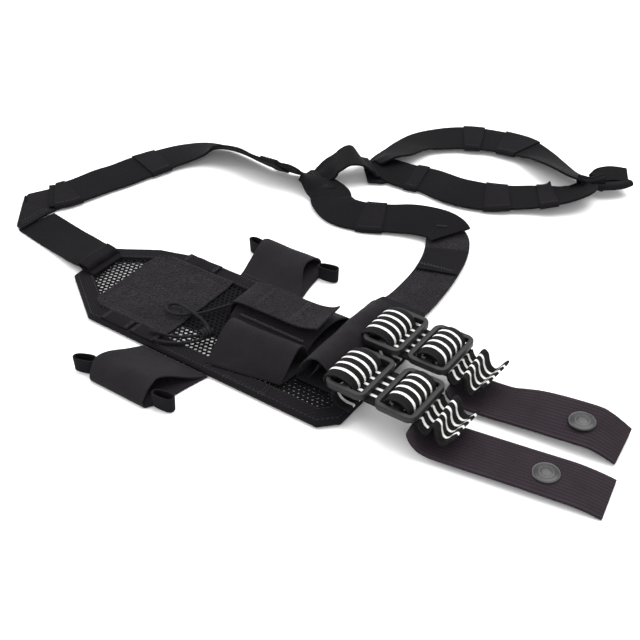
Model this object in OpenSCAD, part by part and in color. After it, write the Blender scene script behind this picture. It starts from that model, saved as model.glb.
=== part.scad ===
// Low-profile shoulder harness with a mesh-backed pouch panel, all in millimetres.
// The panel lies on its back at the origin: +X runs from its shoulder-strap end to its belt end,
// +Y points to the side where the two arm loops lie, and +Z points up from the surface it lies on.

/* [Webbing] */
// Width of every strap
web_w = 30; // [25:1:34]
// Thickness of one layer of webbing
web_t = 1.6; // [1.2:0.1:2]

/* [Panel] */
// Length of the mesh-backed panel
panel_l = 226; // [224:1:228]
// Width of the panel
panel_w = 90; // [88:1:92]
// Width of its shoulder-strap end
panel_end_w = 37; // [34:1:44]
// Length over which the panel narrows to the shoulder-strap end
panel_taper = 42; // [36:1:48]
// Width of the binding round the panel
binding_w = 12; // [9:1:14]
// Thickness of the binding
binding_t = 4.2; // [3.6:0.1:4.2]
// Thickness of the spacer mesh
mesh_t = 3.2; // [2:0.1:3.4]

/* [Pouches] */
// Thickness of the pouch fabric
fabric_t = 1.2; // [0.8:0.1:1.6]
// Height of the tube pouch on the near side
near_tube_h = 18; // [12:1:18]
// Height of the tube pouch on the far side
far_tube_h = 13; // [11:1:16]
// Height of the pouch across the belt end
end_pouch_h = 21; // [14:1:21]
// How far each side wing reaches out from the panel
wing_reach = 43; // [38:1:46]
// Height of the near wing at its fullest
near_wing_h = 12; // [10:1:13]
// Height of the far wing at its fullest
far_wing_h = 11; // [9:1:14]

/* [Hardware] */
// Length of an adjuster frame across the elastic
adjuster_w = 38; // [37:1:39]
// Length of an adjuster frame along the elastic
adjuster_l = 26; // [25:1:26]
// Thickness of an adjuster frame
adjuster_t = 4; // [3:0.5:4]
// Diameter of a press-stud cap
cap_d = 15.5; // [14:0.5:17]
// Diameter of the post of a press stud
post_d = 4; // [3.6:0.1:4.2]

/* [Hidden] */
clear = 0.3;                          // gap between pieces that move apart
deck_z = binding_t + 0.1;             // height at which the pouches stand on the panel
elastic_z = 18;                       // underside of the raised run of elastic
frame_z = elastic_z + web_t + 0.6;    // underside of the adjusters
cord_d = 2;
near_y = -13;                         // centre lines of the two elastics
far_y = 31;
near_inner_x = 111;                   // adjuster centres along the elastics
near_outer_x = 143;
far_inner_x = 107;
far_outer_x = 137;
fold_u = 48;                          // places along a belt strap, from its start
cap_u = 75;
post_u = 2 * fold_u - cap_u;
strip_x = 14.5;                       // line where the retention strip folds

// Routes of the straps: x, y and z of the middle of the webbing, then its roll in degrees,
// positive where the edge on the left of the direction of travel is the higher one.
rear_strap_route = [
    [-101, 4, 6.4, 0], [-116, 4, 5.2, 0], [-134, 8, 3, 0], [-156, 12, 1.4, 0], [-181, 16, 1.2, 0]
];
arm_strap_rear_route = [
    [-191, 51, 4.5, 8], [-186, 64, 4.5, 8], [-181, 82, 5, 10], [-176, 96, 4.5, 10],
    [-170, 115, 4.6, 6], [-163, 133, 3.5, 0], [-154, 148, 4.5, -3], [-146, 160, 6.5, -10]
];
arm_strap_far_route = [
    [-145, 161.5, 7, -12], [-135, 165.5, 7, -20], [-122, 164, 11, -42], [-106, 163, 13.2, -42],
    [-90, 161, 13.6, -41], [-75, 163, 13.2, -41], [-62.5, 166, 11.8, -42]
];
arm_strap_front_route = [
    [-29, 161.5, 4, 0], [-22, 153.5, 4, 3], [-9, 147.5, 4, 8], [7, 150, 4, 8], [22, 157, 4, 5], [38, 164, 5.5, 9],
    [53, 168, 6, 9], [66, 169, 6, 8]
];
arm_strap_end_route = [
    [63, 166, 1.2, 0], [72, 154, 1.2, 0], [79, 140, 2, 4], [84, 121, 2.4, 6],
    [86, 100, 2.2, 4], [86, 80, 3, 0], [86, 66, 6.6, 0], [86, 55, 7.6, 0]
];
link_route = [
    [-51, 181, 3, 0], [-47, 187, 8, 0], [-41, 193, 16, 0], [-35, 197, 20.5, 0],
    [-32, 200, 20, 0], [-29, 203, 15, 0], [-27, 206, 8, 0], [-25, 209.5, 3.5, 0]
];
shoulder_far_route = [
    [-19, 243, 4, -6], [-18, 255, 4.5, -8], [-12, 267, 4, 0], [0, 279, 5, 12], [16, 292, 6.2, 12],
    [35, 301, 6, 10], [54, 304, 5.4, 9], [69, 299, 5, 0], [83, 289, 8.4, -30],
    [98, 281, 12.4, -50], [111, 277.5, 14, -60]
];
shoulder_near_route = [
    [4, 217, 3.8, 4], [20, 220, 3.6, 4], [43, 217, 4.8, 8], [63, 221, 5, 8], [80, 231, 4.2, 4],
    [95, 240, 5, -4], [108, 246, 9.6, -24], [120, 250, 12.6, -50], [126, 259, 14, -60], [127, 267, 14, -60]
];
tail_flap_route = [
    [127.5, 284.5, 9.8, -50], [130.5, 290.5, 9.6, -45], [133, 297, 9.2, -40], [136, 303, 8, -30]
];
tail_loop_route = [
    [134, 277, 8.8, -65], [140, 283, 8.8, -68], [145, 291, 8.8, -70]
];
cord_route = [
    [3, 17, 7], [-1, 14, 6.6], [-6, 6, 6.2], [-12, -5, 6.2], [-18, -12, 6.6], [-24, -16, 6.8],
    [-30, -16, 6.8], [-34, -12, 6.8], [-32, -8, 6.8], [-27, -7, 7.2], [-20, -9, 8.6],
    [-12, -11, 9.2], [-5, -12.5, 8.6], [1, -15, 7.8], [4, -17, 7.6]
];
cord_end_a_route = [
    [3, -24, 7.6], [-1, -27, 7], [-6, -30, 6.2], [-12, -33, 5.8], [-18, -35.5, 6.9], [-25, -37.5, 7.2]
];
cord_end_b_route = [
    [6.5, -25.5, 7.6], [4, -29, 7], [0, -32.5, 6.2], [-5, -36, 5.8], [-11, -39.5, 5.8],
    [-16.5, -42, 6.4], [-18.5, -42.8, 6.9]
];

// ---- functions ----

function unit(v) = v / norm(v);
function reverse(list) = [for (i = [len(list) - 1:-1:0]) list[i]];

// A half-profile humped over a straight base, its crest moved towards the end by lean
function hump(w, h, lean, n = 24) =
    [for (i = [0:n]) [w * i / n, h * pow(sin(180 * pow(i / n, lean)), 0.55)]];

// The straight-line path p made into a closed outline of thickness t on its left side
function thick_line(p, t) =
    let (n = len(p) - 1)
    concat(p, reverse([
        for (i = [0:n])
            let (d = unit(p[min(i + 1, n)] - p[max(i - 1, 0)]))
            p[i] + t * [-d.y, d.x]
    ]));

// A rectangle with round corners, centred on the origin
function round_rect(w, l, r, n = 8) =
    [for (q = [0:3]) for (i = [0:n])
        let (a = 90 * (q + i / n))
        [(q == 0 || q == 3 ? 1 : -1) * (w / 2 - r) + r * cos(a),
         (q < 2 ? 1 : -1) * (l / 2 - r) + r * sin(a)]];

// The panel's outline, drawn in by inset all round
function panel_outline(inset) =
    let (
        slope = (panel_w - panel_end_w) / 2 / panel_taper,
        drop = inset * sqrt(1 + slope * slope),
        x0 = -panel_l / 2 + inset,
        x1 = panel_l / 2 - inset,
        y0 = panel_end_w / 2 + slope * inset - drop,
        y1 = panel_w / 2 - inset,
        xt = -panel_l / 2 + (y1 + drop - panel_end_w / 2) / slope,
        corner = 10 - 0.4 * inset
    )
    [[x0, -y0], [xt, -y1], [x1 - corner, -y1], [x1, corner - y1],
     [x1, y1 - corner], [x1 - corner, y1], [xt, y1], [x0, y0]];

// A point on the smooth curve through the rows of a route, s counted in rows
function along(route, s) =
    let (
        last = len(route) - 1,
        i = min(floor(s), last - 1),
        t = s - i,
        b = route[i],
        c = route[i + 1],
        a = i > 0 ? route[i - 1] : 2 * b - c,
        d = i < last - 1 ? route[i + 2] : 2 * c - b
    )
    0.5 * (2 * b + t * (c - a) + t * t * (2 * a - 5 * b + 4 * c - d) + t * t * t * (3 * b - a - 3 * c + d));

function place(row) = [row.x, row.y, row.z];

// The side direction of the webbing at s
function side(route, s) =
    let (
        last = len(route) - 1,
        d = unit(place(along(route, min(s + 0.05, last))) - place(along(route, max(s - 0.05, 0)))),
        left = unit([-d.y, d.x, 0]),
        roll = along(route, s)[3]
    )
    cos(roll) * left + sin(roll) * cross(d, left);

// Four corners of the webbing's section at s
function section(route, s, w, t) =
    let (
        last = len(route) - 1,
        p = place(along(route, s)),
        d = unit(place(along(route, min(s + 0.05, last))) - place(along(route, max(s - 0.05, 0)))),
        across = side(route, s),
        up = cross(d, across)
    )
    [p - across * w / 2 - up * t / 2, p + across * w / 2 - up * t / 2,
     p + across * w / 2 + up * t / 2, p - across * w / 2 + up * t / 2];

// ---- shared shapes ----

// A skin over a list of rings that all have k points
module skin(rings, k) {
    n = len(rings);
    walls = [for (i = [0:n - 2]) for (j = [0:k - 1])
        let (a = i * k + j, b = i * k + (j + 1) % k)
        each [[a, b, b + k], [a, b + k, a + k]]];
    ends = [[for (j = [k - 1:-1:0]) j], [for (j = [0:k - 1]) (n - 1) * k + j]];
    polyhedron([for (r = rings) each r], [for (f = concat(walls, ends)) reverse(f)]);
}

// Webbing laid along part of a route, from row s0 to row s1
module webbing(route, s0 = 0, s1 = -1, w = web_w, t = web_t, per_row = 3) {
    stop = s1 < 0 ? len(route) - 1 : s1;
    n = max(2, ceil((stop - s0) * per_row));
    skin([for (i = [0:n]) section(route, s0 + (stop - s0) * i / n, w, t)], 4);
}

// A sleeve of webbing sewn round a strap between rows s0 and s1
module sleeve(route, s0, s1) {
    difference() {
        webbing(route, s0, s1, web_w + 4, web_t + 3.2, 5);
        webbing(route, s0 - 0.1, s1 + 0.1, web_w + 0.6, web_t + 0.6, 5);
    }
}

// Cord laid along a route, with eight sides
module cord(route, per_row = 2) {
    last = len(route) - 1;
    n = last * per_row;
    skin([for (i = [0:n])
        let (
            s = i / per_row,
            p = along(route, s),
            d = unit(along(route, min(s + 0.05, last)) - along(route, max(s - 0.05, 0))),
            a = unit([-d.y, d.x, 0]),
            b = cross(d, a)
        )
        [for (j = [0:7]) p + cord_d / 2 * (cos(45 * j) * a + sin(45 * j) * b)]], 8);
}

// A flat band bent along a path in X and Z, as wide as w in Y about y = 0
module bent_band(path, w, t = web_t) {
    rotate([90, 0, 0]) linear_extrude(w, center = true) polygon(thick_line(path, t));
}

// A fabric tube along X, open at both ends and flat underneath
module fabric_tube(w, h, lean, length) {
    rotate([90, 0, 90]) difference() {
        linear_extrude(length) polygon(hump(w, h, lean));
        translate([fabric_t * 2, fabric_t, -1])
            linear_extrude(length + 2) polygon(hump(w - 4 * fabric_t, h - 2 * fabric_t, lean));
    }
}

// A wing: a fabric tube cut to a slanted plan, reaching out along Y
module wing(h, x0, x1, slant) {
    intersection() {
        translate([x0 - 20, 0, 0.2]) fabric_tube(wing_reach, h, 2.2, x1 - x0 + 40);
        linear_extrude(40) polygon([
            [x0, -1], [x1, -1], [x1 + slant, wing_reach + 1], [x0 + slant, wing_reach + 1]
        ]);
    }
}

// A small loop of narrow webbing standing on its edge
module pull_tab() {
    linear_extrude(10) difference() {
        polygon(round_rect(14, 6.4, 3));
        polygon(round_rect(11.8, 4.2, 2));
    }
}

// An adjuster frame with its two slots and centre bar
module adjuster() {
    slot_l = (adjuster_l - 11.4) / 2;
    linear_extrude(adjuster_t) difference() {
        polygon(round_rect(adjuster_l, adjuster_w, 5));
        for (s = [-1, 1]) translate([s * (2.5 + slot_l / 2), 0]) square([slot_l, web_w + 1], center = true);
    }
}

// The elastic where it rises over an adjuster's centre bar
module wrap() {
    half = [[-7, -0.3], [-6.9, 2], [-6.2, 5], [-4, 7], [0, 7.8]];
    back = [for (i = [3:-1:0]) [-half[i].x, half[i].y]];
    bent_band(concat(half, back), web_w - 1);
}

// One elastic: its lower run on the panel, its turn, and its raised run under the adjusters
module elastic(end_x) {
    bent_band([[113, 6], [108, 6], [105, 7], [103, 9], [102.2, 11.5], [102.8, 14.6],
               [105, 17.2], [109, elastic_z], [end_x, elastic_z]], web_w);
}

// The loose crumpled end of an elastic
module tail(rise) {
    bent_band([[0, 18], [2.5, 15], [5, 14.4], [8, 17], [10.5, 17], [13, 14], [15.5, 13.4],
               [18.5, 15.6 + rise], [22, 17 + 2 * rise]], web_w - 1);
}

module near_belt_frame() { translate([150, -20, 0]) rotate(9) children(); }
module far_belt_frame() { translate([150, 26, 0]) rotate(6.5) children(); }

// The half of a press stud that shows: a domed cap with a rolled rim
module snap_cap() {
    rotate_extrude($fn = 64) polygon([
        [0, 0], [cap_d / 2 - 0.4, 0], [cap_d / 2, 0.6], [cap_d / 2 - 0.4, 1.4],
        [5.4, 2], [2.6, 2.2], [2, 1.8], [0, 1.7]
    ]);
}

// The spring socket under the cap
module snap_socket() {
    difference() {
        cylinder(d = 11, h = 1.2, $fn = 64);
        translate([0, 0, -1]) cylinder(d = post_d + 0.6, h = 4, $fn = 48);
    }
}

// The stud that the socket snaps on to, pointing down
module snap_stud() {
    cylinder(d = 10, h = 0.8, $fn = 64);
    translate([0, 0, -1.2]) cylinder(d = post_d, h = 1.3, $fn = 48);
}

// ---- panel ----

module mesh_panel() {
    color("#2b2a2e") linear_extrude(mesh_t) polygon(panel_outline(binding_w));
}

module edge_binding() {
    color("#222125") linear_extrude(binding_t) difference() {
        polygon(panel_outline(0));
        polygon(panel_outline(binding_w));
    }
}

// Short pieces of tape sewn over the binding
module binding_tabs() {
    color("#2a292d") {
        translate([-61, 34, deck_z]) cube([27, 9, 1.2]);
        translate([-62, -43, deck_z]) cube([22, 9, 1.2]);
        translate([-38, -43, deck_z]) cube([20, 9, 1.2]);
    }
}

module loop_patch() {
    color("#2d2c30") translate([0, 0, mesh_t]) linear_extrude(fabric_t) intersection() {
        polygon(panel_outline(binding_w + 0.2));
        translate([-80, -panel_w / 2]) square([63, panel_w]);
    }
}

// The rolled end of the shoulder strap where it is sewn to the panel
module strap_anchor() {
    color("#252428") translate([-104.5, 19, 9.6]) rotate([90, 0, 0]) linear_extrude(30) difference() {
        polygon(round_rect(11, 4.8, 2.3));
        polygon(round_rect(8.4, 2.2, 1));
    }
}

// ---- pouches ----

module near_tube() {
    color("#2b2a2f") translate([20, -40, deck_z]) fabric_tube(35, near_tube_h, 1.9, 50);
}

module far_tube() {
    color("#2b2a2f") translate([8, -4, deck_z]) fabric_tube(46, far_tube_h, 1, 61);
}

strip_top = deck_z + far_tube_h + 0.8;

module strip_root() {
    color("#333237") translate([0, 16, 0])
        bent_band([[1, deck_z + 0.3], [4.5, 8], [5.6, 15], [8, strip_top], [strip_x - clear, strip_top + 0.4]],
                  28, 1.4);
}

module retention_strip() {
    color("#333237") translate([0, 16, 0])
        bent_band([[strip_x + clear, strip_top + 0.4], [30, strip_top + 0.6], [50, strip_top + 0.8],
                   [58, strip_top + 1.6], [64, strip_top + 3.2], [69, strip_top + 6]], 28, 1.4);
}

module end_pouch() {
    color("#2b2a2f") translate([100, -20, deck_z]) rotate(90) fabric_tube(29, end_pouch_h, 1, 72);
}

module end_pouch_flap() {
    color("#343338") translate([79, -17, deck_z + 2.2]) rotate([90, -28, 180])
        linear_extrude(34) polygon(round_rect(1.2, 3, 0.5));
    color("#343338") translate([0, 17, 0]) rotate([90, 0, 0]) linear_extrude(34)
        polygon(thick_line([[78, 9], [82, 14], [85, 19.5]], 1.2));
}

module near_wing() {
    color("#28272b") translate([0, -panel_w / 2 - 0.5, 0]) mirror([0, 1, 0]) wing(near_wing_h, -25, 25, -8);
}

module near_wing_tabs() {
    color("#232226") {
        translate([-39.5, -81, 0.3]) rotate(20) pull_tab();
        translate([27, -79, 0.3]) rotate(-15) pull_tab();
    }
}

module far_wing() {
    color("#28272b") translate([0, panel_w / 2 + 0.5, 0]) wing(far_wing_h, -22, 26, -7);
}

module far_wing_tabs() {
    color("#232226") {
        translate([-29, 75, 0.3]) rotate(-10) pull_tab();
        translate([30, 77, 0.3]) rotate(10) pull_tab();
    }
}

// ---- elastics and adjusters ----

module near_elastic() {
    color("#1c1b1e") translate([0, near_y, 0]) elastic(near_outer_x + 12);
}

module far_elastic() {
    color("#1c1b1e") translate([0, far_y, 0]) elastic(far_outer_x + 12);
}

module near_inner_adjuster() { color("#303033") translate([near_inner_x, near_y, frame_z]) adjuster(); }
module near_outer_adjuster() { color("#303033") translate([near_outer_x, near_y, frame_z]) adjuster(); }
module far_inner_adjuster() { color("#303033") translate([far_inner_x, far_y, frame_z]) adjuster(); }
module far_outer_adjuster() { color("#303033") translate([far_outer_x, far_y, frame_z]) adjuster(); }

module near_inner_wrap() { color("#e6e6e6") translate([near_inner_x, near_y, frame_z]) wrap(); }
module near_outer_wrap() { color("#e6e6e6") translate([near_outer_x, near_y, frame_z]) wrap(); }
module far_inner_wrap() { color("#e6e6e6") translate([far_inner_x, far_y, frame_z]) wrap(); }
module far_outer_wrap() { color("#e6e6e6") translate([far_outer_x, far_y, frame_z]) wrap(); }

module near_tail() { color("#d8d8d8") translate([near_outer_x + 12.6, near_y, 0]) tail(0); }
module far_tail() { color("#d8d8d8") translate([far_outer_x + 12.6, far_y, 0]) tail(1.5); }

// ---- belt straps and press studs ----

near_belt_z = 3.2;
far_tip_z = 7;

module near_belt_strap() {
    color("#2d262c") near_belt_frame()
        bent_band([[fold_u - 0.6, near_belt_z + web_t], [16, near_belt_z + web_t], [9, 6.2], [5, 9.5],
                   [3, 13.5], [2.4, 17]], web_w, web_t);
}

module near_belt_tip() {
    color("#2d262c") near_belt_frame()
        bent_band([[109, web_t], [98, 2.4 + web_t], [88, near_belt_z + web_t], [fold_u + 0.6, near_belt_z + web_t]],
                  web_w, web_t);
}

module far_belt_strap() {
    color("#2d262c") far_belt_frame()
        bent_band([[fold_u - 0.6, 6 + web_t], [38, 4.4 + web_t], [30, near_belt_z + web_t],
                   [14, near_belt_z + web_t], [7, 5.6], [3, 8], [1.2, 10.4], [0.6, 12.6]], web_w, web_t);
}

module far_belt_tip() {
    color("#2d262c") far_belt_frame()
        bent_band([[99, web_t + 0.6], [94, 3 + web_t], [86, 6 + web_t], [80, far_tip_z + web_t],
                   [62, far_tip_z + web_t], [fold_u + 0.6, 6 + web_t]], web_w, web_t);
}

module near_snap_cap() {
    color("#3a3a3e") near_belt_frame() translate([cap_u, 0, near_belt_z + web_t]) snap_cap();
}

module near_snap_socket() {
    color("#55555a") near_belt_frame() translate([cap_u, 0, near_belt_z - 1.2]) snap_socket();
}

module near_snap_stud() {
    color("#55555a") near_belt_frame() translate([post_u, 0, near_belt_z - 0.8]) snap_stud();
}

module far_snap_cap() {
    color("#3a3a3e") far_belt_frame() translate([cap_u, 0, far_tip_z + web_t]) snap_cap();
}

module far_snap_socket() {
    color("#55555a") far_belt_frame() translate([cap_u, 0, far_tip_z - 1.2]) snap_socket();
}

module far_snap_stud() {
    color("#55555a") far_belt_frame() translate([post_u, 0, near_belt_z - 0.8]) snap_stud();
}

// ---- first arm loop ----

module rear_strap() { color("#232226") webbing(rear_strap_route); }

// The corner where the strap turns by a flat diagonal fold
module rear_fold() {
    color("#1f1e22") translate([0, 0, 0.4]) linear_extrude(3.8) polygon([
        [-182, 1], [-187, 3], [-218, 40], [-217, 46], [-206, 55.5], [-177.5, 47.5], [-181, 32]
    ]);
}

module arm_strap_rear() { color("#232226") webbing(arm_strap_rear_route); }
module arm_strap_far() { color("#232226") webbing(arm_strap_far_route); }
module arm_strap_front() { color("#232226") webbing(arm_strap_front_route); }
module arm_strap_end() { color("#29282c") webbing(arm_strap_end_route); }

module arm_keepers() {
    color("#2b2a2e") {
        sleeve(arm_strap_rear_route, 0.2, 0.8);
        sleeve(arm_strap_rear_route, 4.3, 5.1);
        sleeve(arm_strap_far_route, 3.6, 4.4);
        sleeve(arm_strap_front_route, 2.8, 3.9);
    }
}

module end_sleeve() { color("#2b2a2e") sleeve(arm_strap_end_route, 5.35, 6.6); }

// The sewn crossing of the first arm loop and the link
module arm_crossing() {
    color("#201f23") translate([0, 0, 0.5]) linear_extrude(5) polygon([
        [-61.5, 160], [-61.5, 183], [-60, 185], [-42, 174], [-21, 170.5], [-41.5, 155]
    ]);
}

module link_root() { color("#29282c") webbing(link_route, 0, 2.95, web_w, web_t, 4); }
module link_strap() { color("#29282c") webbing(link_route, 3.15, 7, web_w, web_t, 4); }

// ---- second arm loop ----

module shoulder_crossing() {
    color("#201f23") translate([0, 0, 0.5]) linear_extrude(5) polygon([
        [-39, 217.5], [-12, 204], [2, 206], [2, 232], [-3, 242], [-35, 242]
    ]);
}

module shoulder_strap_far() { color("#232226") webbing(shoulder_far_route); }
module shoulder_strap_near() { color("#232226") webbing(shoulder_near_route); }

module shoulder_keepers() {
    color("#2b2a2e") {
        sleeve(shoulder_far_route, 3.7, 4.4);
        sleeve(shoulder_far_route, 5.4, 6.3);
        sleeve(shoulder_near_route, 0.1, 0.7);
        sleeve(shoulder_near_route, 3.2, 4.1);
        sleeve(shoulder_near_route, 5.1, 5.7);
    }
}

// The sewn crossing at the tip of the second arm loop, where the webbing stands on its edge
module tip_crossing() {
    color("#201f23") linear_extrude(16) polygon([
        [116, 272.5], [120, 270.5], [130, 270.5], [131.5, 277], [129, 282], [117, 282]
    ]);
}

module tail_flap() { color("#29282c") webbing(tail_flap_route, 0, -1, 22); }
module tail_loop() { color("#29282c") webbing(tail_loop_route, 0, -1, 16, 4); }

// ---- cord ----

module cord_loop() { color("#3a393e") cord(cord_route); }
module cord_end_a() { color("#3a393e") cord(cord_end_a_route, 3); }
module cord_end_b() { color("#3a393e") cord(cord_end_b_route, 3); }

module cord_knot() {
    color("#38373c") translate([5, -20.8, 8]) rotate([0, 90, 70]) translate([0, 0, -4.5])
        rotate_extrude($fn = 32) polygon([[0, 0], [2.2, 0], [3.4, 1.6], [3.6, 4.5], [3.4, 7.4], [2.2, 9], [0, 9]]);
}

mesh_panel();
edge_binding();
binding_tabs();
loop_patch();
strap_anchor();
near_tube();
far_tube();
strip_root();
retention_strip();
end_pouch();
end_pouch_flap();
near_wing();
near_wing_tabs();
far_wing();
far_wing_tabs();
near_elastic();
far_elastic();
near_inner_adjuster();
near_outer_adjuster();
far_inner_adjuster();
far_outer_adjuster();
near_inner_wrap();
near_outer_wrap();
far_inner_wrap();
far_outer_wrap();
near_tail();
far_tail();
near_belt_strap();
near_belt_tip();
far_belt_strap();
far_belt_tip();
near_snap_cap();
near_snap_socket();
near_snap_stud();
far_snap_cap();
far_snap_socket();
far_snap_stud();
rear_strap();
rear_fold();
arm_strap_rear();
arm_strap_far();
arm_strap_front();
arm_strap_end();
arm_keepers();
end_sleeve();
arm_crossing();
link_root();
link_strap();
shoulder_crossing();
shoulder_strap_far();
shoulder_strap_near();
shoulder_keepers();
tip_crossing();
tail_flap();
tail_loop();
cord_loop();
cord_end_a();
cord_end_b();
cord_knot();
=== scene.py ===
"""Shoulder harness with a mesh-backed pouch panel: the finished cloth, webbing and hardware."""

import logging
import math
from dataclasses import dataclass
from enum import Enum
from typing import Callable, Iterable, Sequence

import bpy
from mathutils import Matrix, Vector, noise


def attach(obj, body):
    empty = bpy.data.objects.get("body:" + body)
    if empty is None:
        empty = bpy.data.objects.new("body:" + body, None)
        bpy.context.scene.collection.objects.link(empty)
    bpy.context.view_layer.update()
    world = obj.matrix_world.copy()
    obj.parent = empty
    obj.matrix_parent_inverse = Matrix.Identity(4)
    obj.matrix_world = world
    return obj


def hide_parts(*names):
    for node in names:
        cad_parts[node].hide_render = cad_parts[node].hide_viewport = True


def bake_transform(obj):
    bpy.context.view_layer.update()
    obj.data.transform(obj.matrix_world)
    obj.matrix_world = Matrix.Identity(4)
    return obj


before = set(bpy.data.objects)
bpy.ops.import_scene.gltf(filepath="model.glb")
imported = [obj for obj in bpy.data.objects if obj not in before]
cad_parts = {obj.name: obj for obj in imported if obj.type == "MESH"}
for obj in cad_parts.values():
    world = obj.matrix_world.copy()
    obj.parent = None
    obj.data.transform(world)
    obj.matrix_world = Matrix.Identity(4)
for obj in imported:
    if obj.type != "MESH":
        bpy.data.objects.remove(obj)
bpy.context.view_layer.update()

MM = 0.001
UP = Vector((0.0, 0.0, 1.0))
ROOT = "root"
# The webbing's width and thickness, in millimetres like all that follows.
WEB_W = 30.0
WEB_T = 1.6
# The tops of the panel's mesh and of the striped elastics, under their adjusters.
DECK_Z = 4.3
FRAME_Z = 20.2
# The middles of the two striped elastics.
NEAR_Y = -13.0
FAR_Y = 31.0
# Where a belt strap folds and where its stud cap sits, along the strap.
CAP_U = 75.0
log = logging.getLogger("harness")

Row = tuple[float, ...]
Place = Callable[[float, float], Vector]


def point(x: float, y: float, z: float) -> Vector:
    """A place given in millimetres, in metres."""
    return Vector((x, y, z)) * MM


# ---- finishes ----

class Weave(Enum):
    """How the surface of a cloth is made."""

    PLAIN = "plain"
    WEBBING = "webbing"
    RIBBED = "ribbed"
    STRIPED = "striped"
    BRUSHED = "brushed"
    BRAID = "braid"


class Nodes:
    """A short way to lay out a material's nodes."""

    def __init__(self, name: str) -> None:
        """Starts a new material.

        Args:
            name: what the material is called.
        """
        self.material = bpy.data.materials.new(name)
        self.material.use_nodes = True
        self.tree = self.material.node_tree
        self.shader = self.tree.nodes["Principled BSDF"]

    def add(self, kind: str, **values: object) -> bpy.types.Node:
        """Adds one node.

        Args:
            kind: the node's Blender type.
            **values: properties of the node.

        Returns:
            The new node.
        """
        node = self.tree.nodes.new(kind)
        for key, value in values.items():
            setattr(node, key, value)
        return node

    def link(self, source: object, target: object) -> None:
        """Joins two sockets."""
        self.tree.links.new(source, target)

    def math(self, operation: str, *terms: object) -> bpy.types.NodeSocket:
        """Adds a Math node.

        Args:
            operation: the node's operation.
            *terms: sockets or numbers, in order.

        Returns:
            The node's result.
        """
        node = self.add("ShaderNodeMath", operation=operation)
        for socket, term in zip(node.inputs, terms):
            if isinstance(term, (int, float)):
                socket.default_value = term
            else:
                self.link(term, socket)
        return node.outputs[0]

    def wave(self, where: object, pitch: float, phase: object = 0.0) -> bpy.types.NodeSocket:
        """A sine of the given pitch in metres, from 0 to 1.

        Args:
            where: the coordinate.
            pitch: metres to one turn.
            phase: what is added to the angle.

        Returns:
            The wave's socket.
        """
        angle = self.math("MULTIPLY_ADD", where, 2 * math.pi / pitch, phase)
        return self.math("MULTIPLY_ADD", self.math("SINE", angle), 0.5, 0.5)

    def clamp(self, value: object) -> bpy.types.NodeSocket:
        """Keeps a value from 0 to 1."""
        return self.math("MINIMUM", self.math("MAXIMUM", value, 0.0), 1.0)

    def noise(self, scale: float, detail: float = 3.0) -> bpy.types.NodeSocket:
        """A noise on the piece's own coordinates.

        Args:
            scale: features to the metre.
            detail: octaves.

        Returns:
            The noise's value.
        """
        coordinates = self.add("ShaderNodeTexCoord")
        node = self.add("ShaderNodeTexNoise")
        node.inputs["Scale"].default_value = scale
        node.inputs["Detail"].default_value = detail
        self.link(coordinates.outputs["Object"], node.inputs["Vector"])
        return node.outputs["Fac"]

    def mix(self, share: object, a: Row | object, b: Row | object) -> bpy.types.NodeSocket:
        """Mixes two colours.

        Args:
            share: how much of b.
            a: a colour or socket.
            b: a colour or socket.

        Returns:
            The mixed colour.
        """
        node = self.add("ShaderNodeMix", data_type="RGBA")
        for key, value in (("Factor_Float", share), ("A_Color", a), ("B_Color", b)):
            socket = next(s for s in node.inputs if s.identifier == key)
            if isinstance(value, tuple):
                socket.default_value = (*value, 1.0)
            elif isinstance(value, (int, float)):
                socket.default_value = value
            else:
                self.link(value, socket)
        return next(s for s in node.outputs if s.identifier == "Result_Color")

    def bump(self, height: object, depth: float, strength: float = 1.0) -> None:
        """Gives the surface a relief.

        Args:
            height: the relief from 0 to 1.
            depth: metres from the lowest to the highest.
            strength: how much of it shows.
        """
        node = self.add("ShaderNodeBump")
        node.inputs["Strength"].default_value = strength
        node.inputs["Distance"].default_value = depth
        self.link(height, node.inputs["Height"])
        self.link(node.outputs["Normal"], self.shader.inputs["Normal"])

    def set(self, **values: object) -> None:
        """Sets constants on the shader's own sockets."""
        for key, value in values.items():
            self.shader.inputs[key.replace("_", " ")].default_value = value


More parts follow.
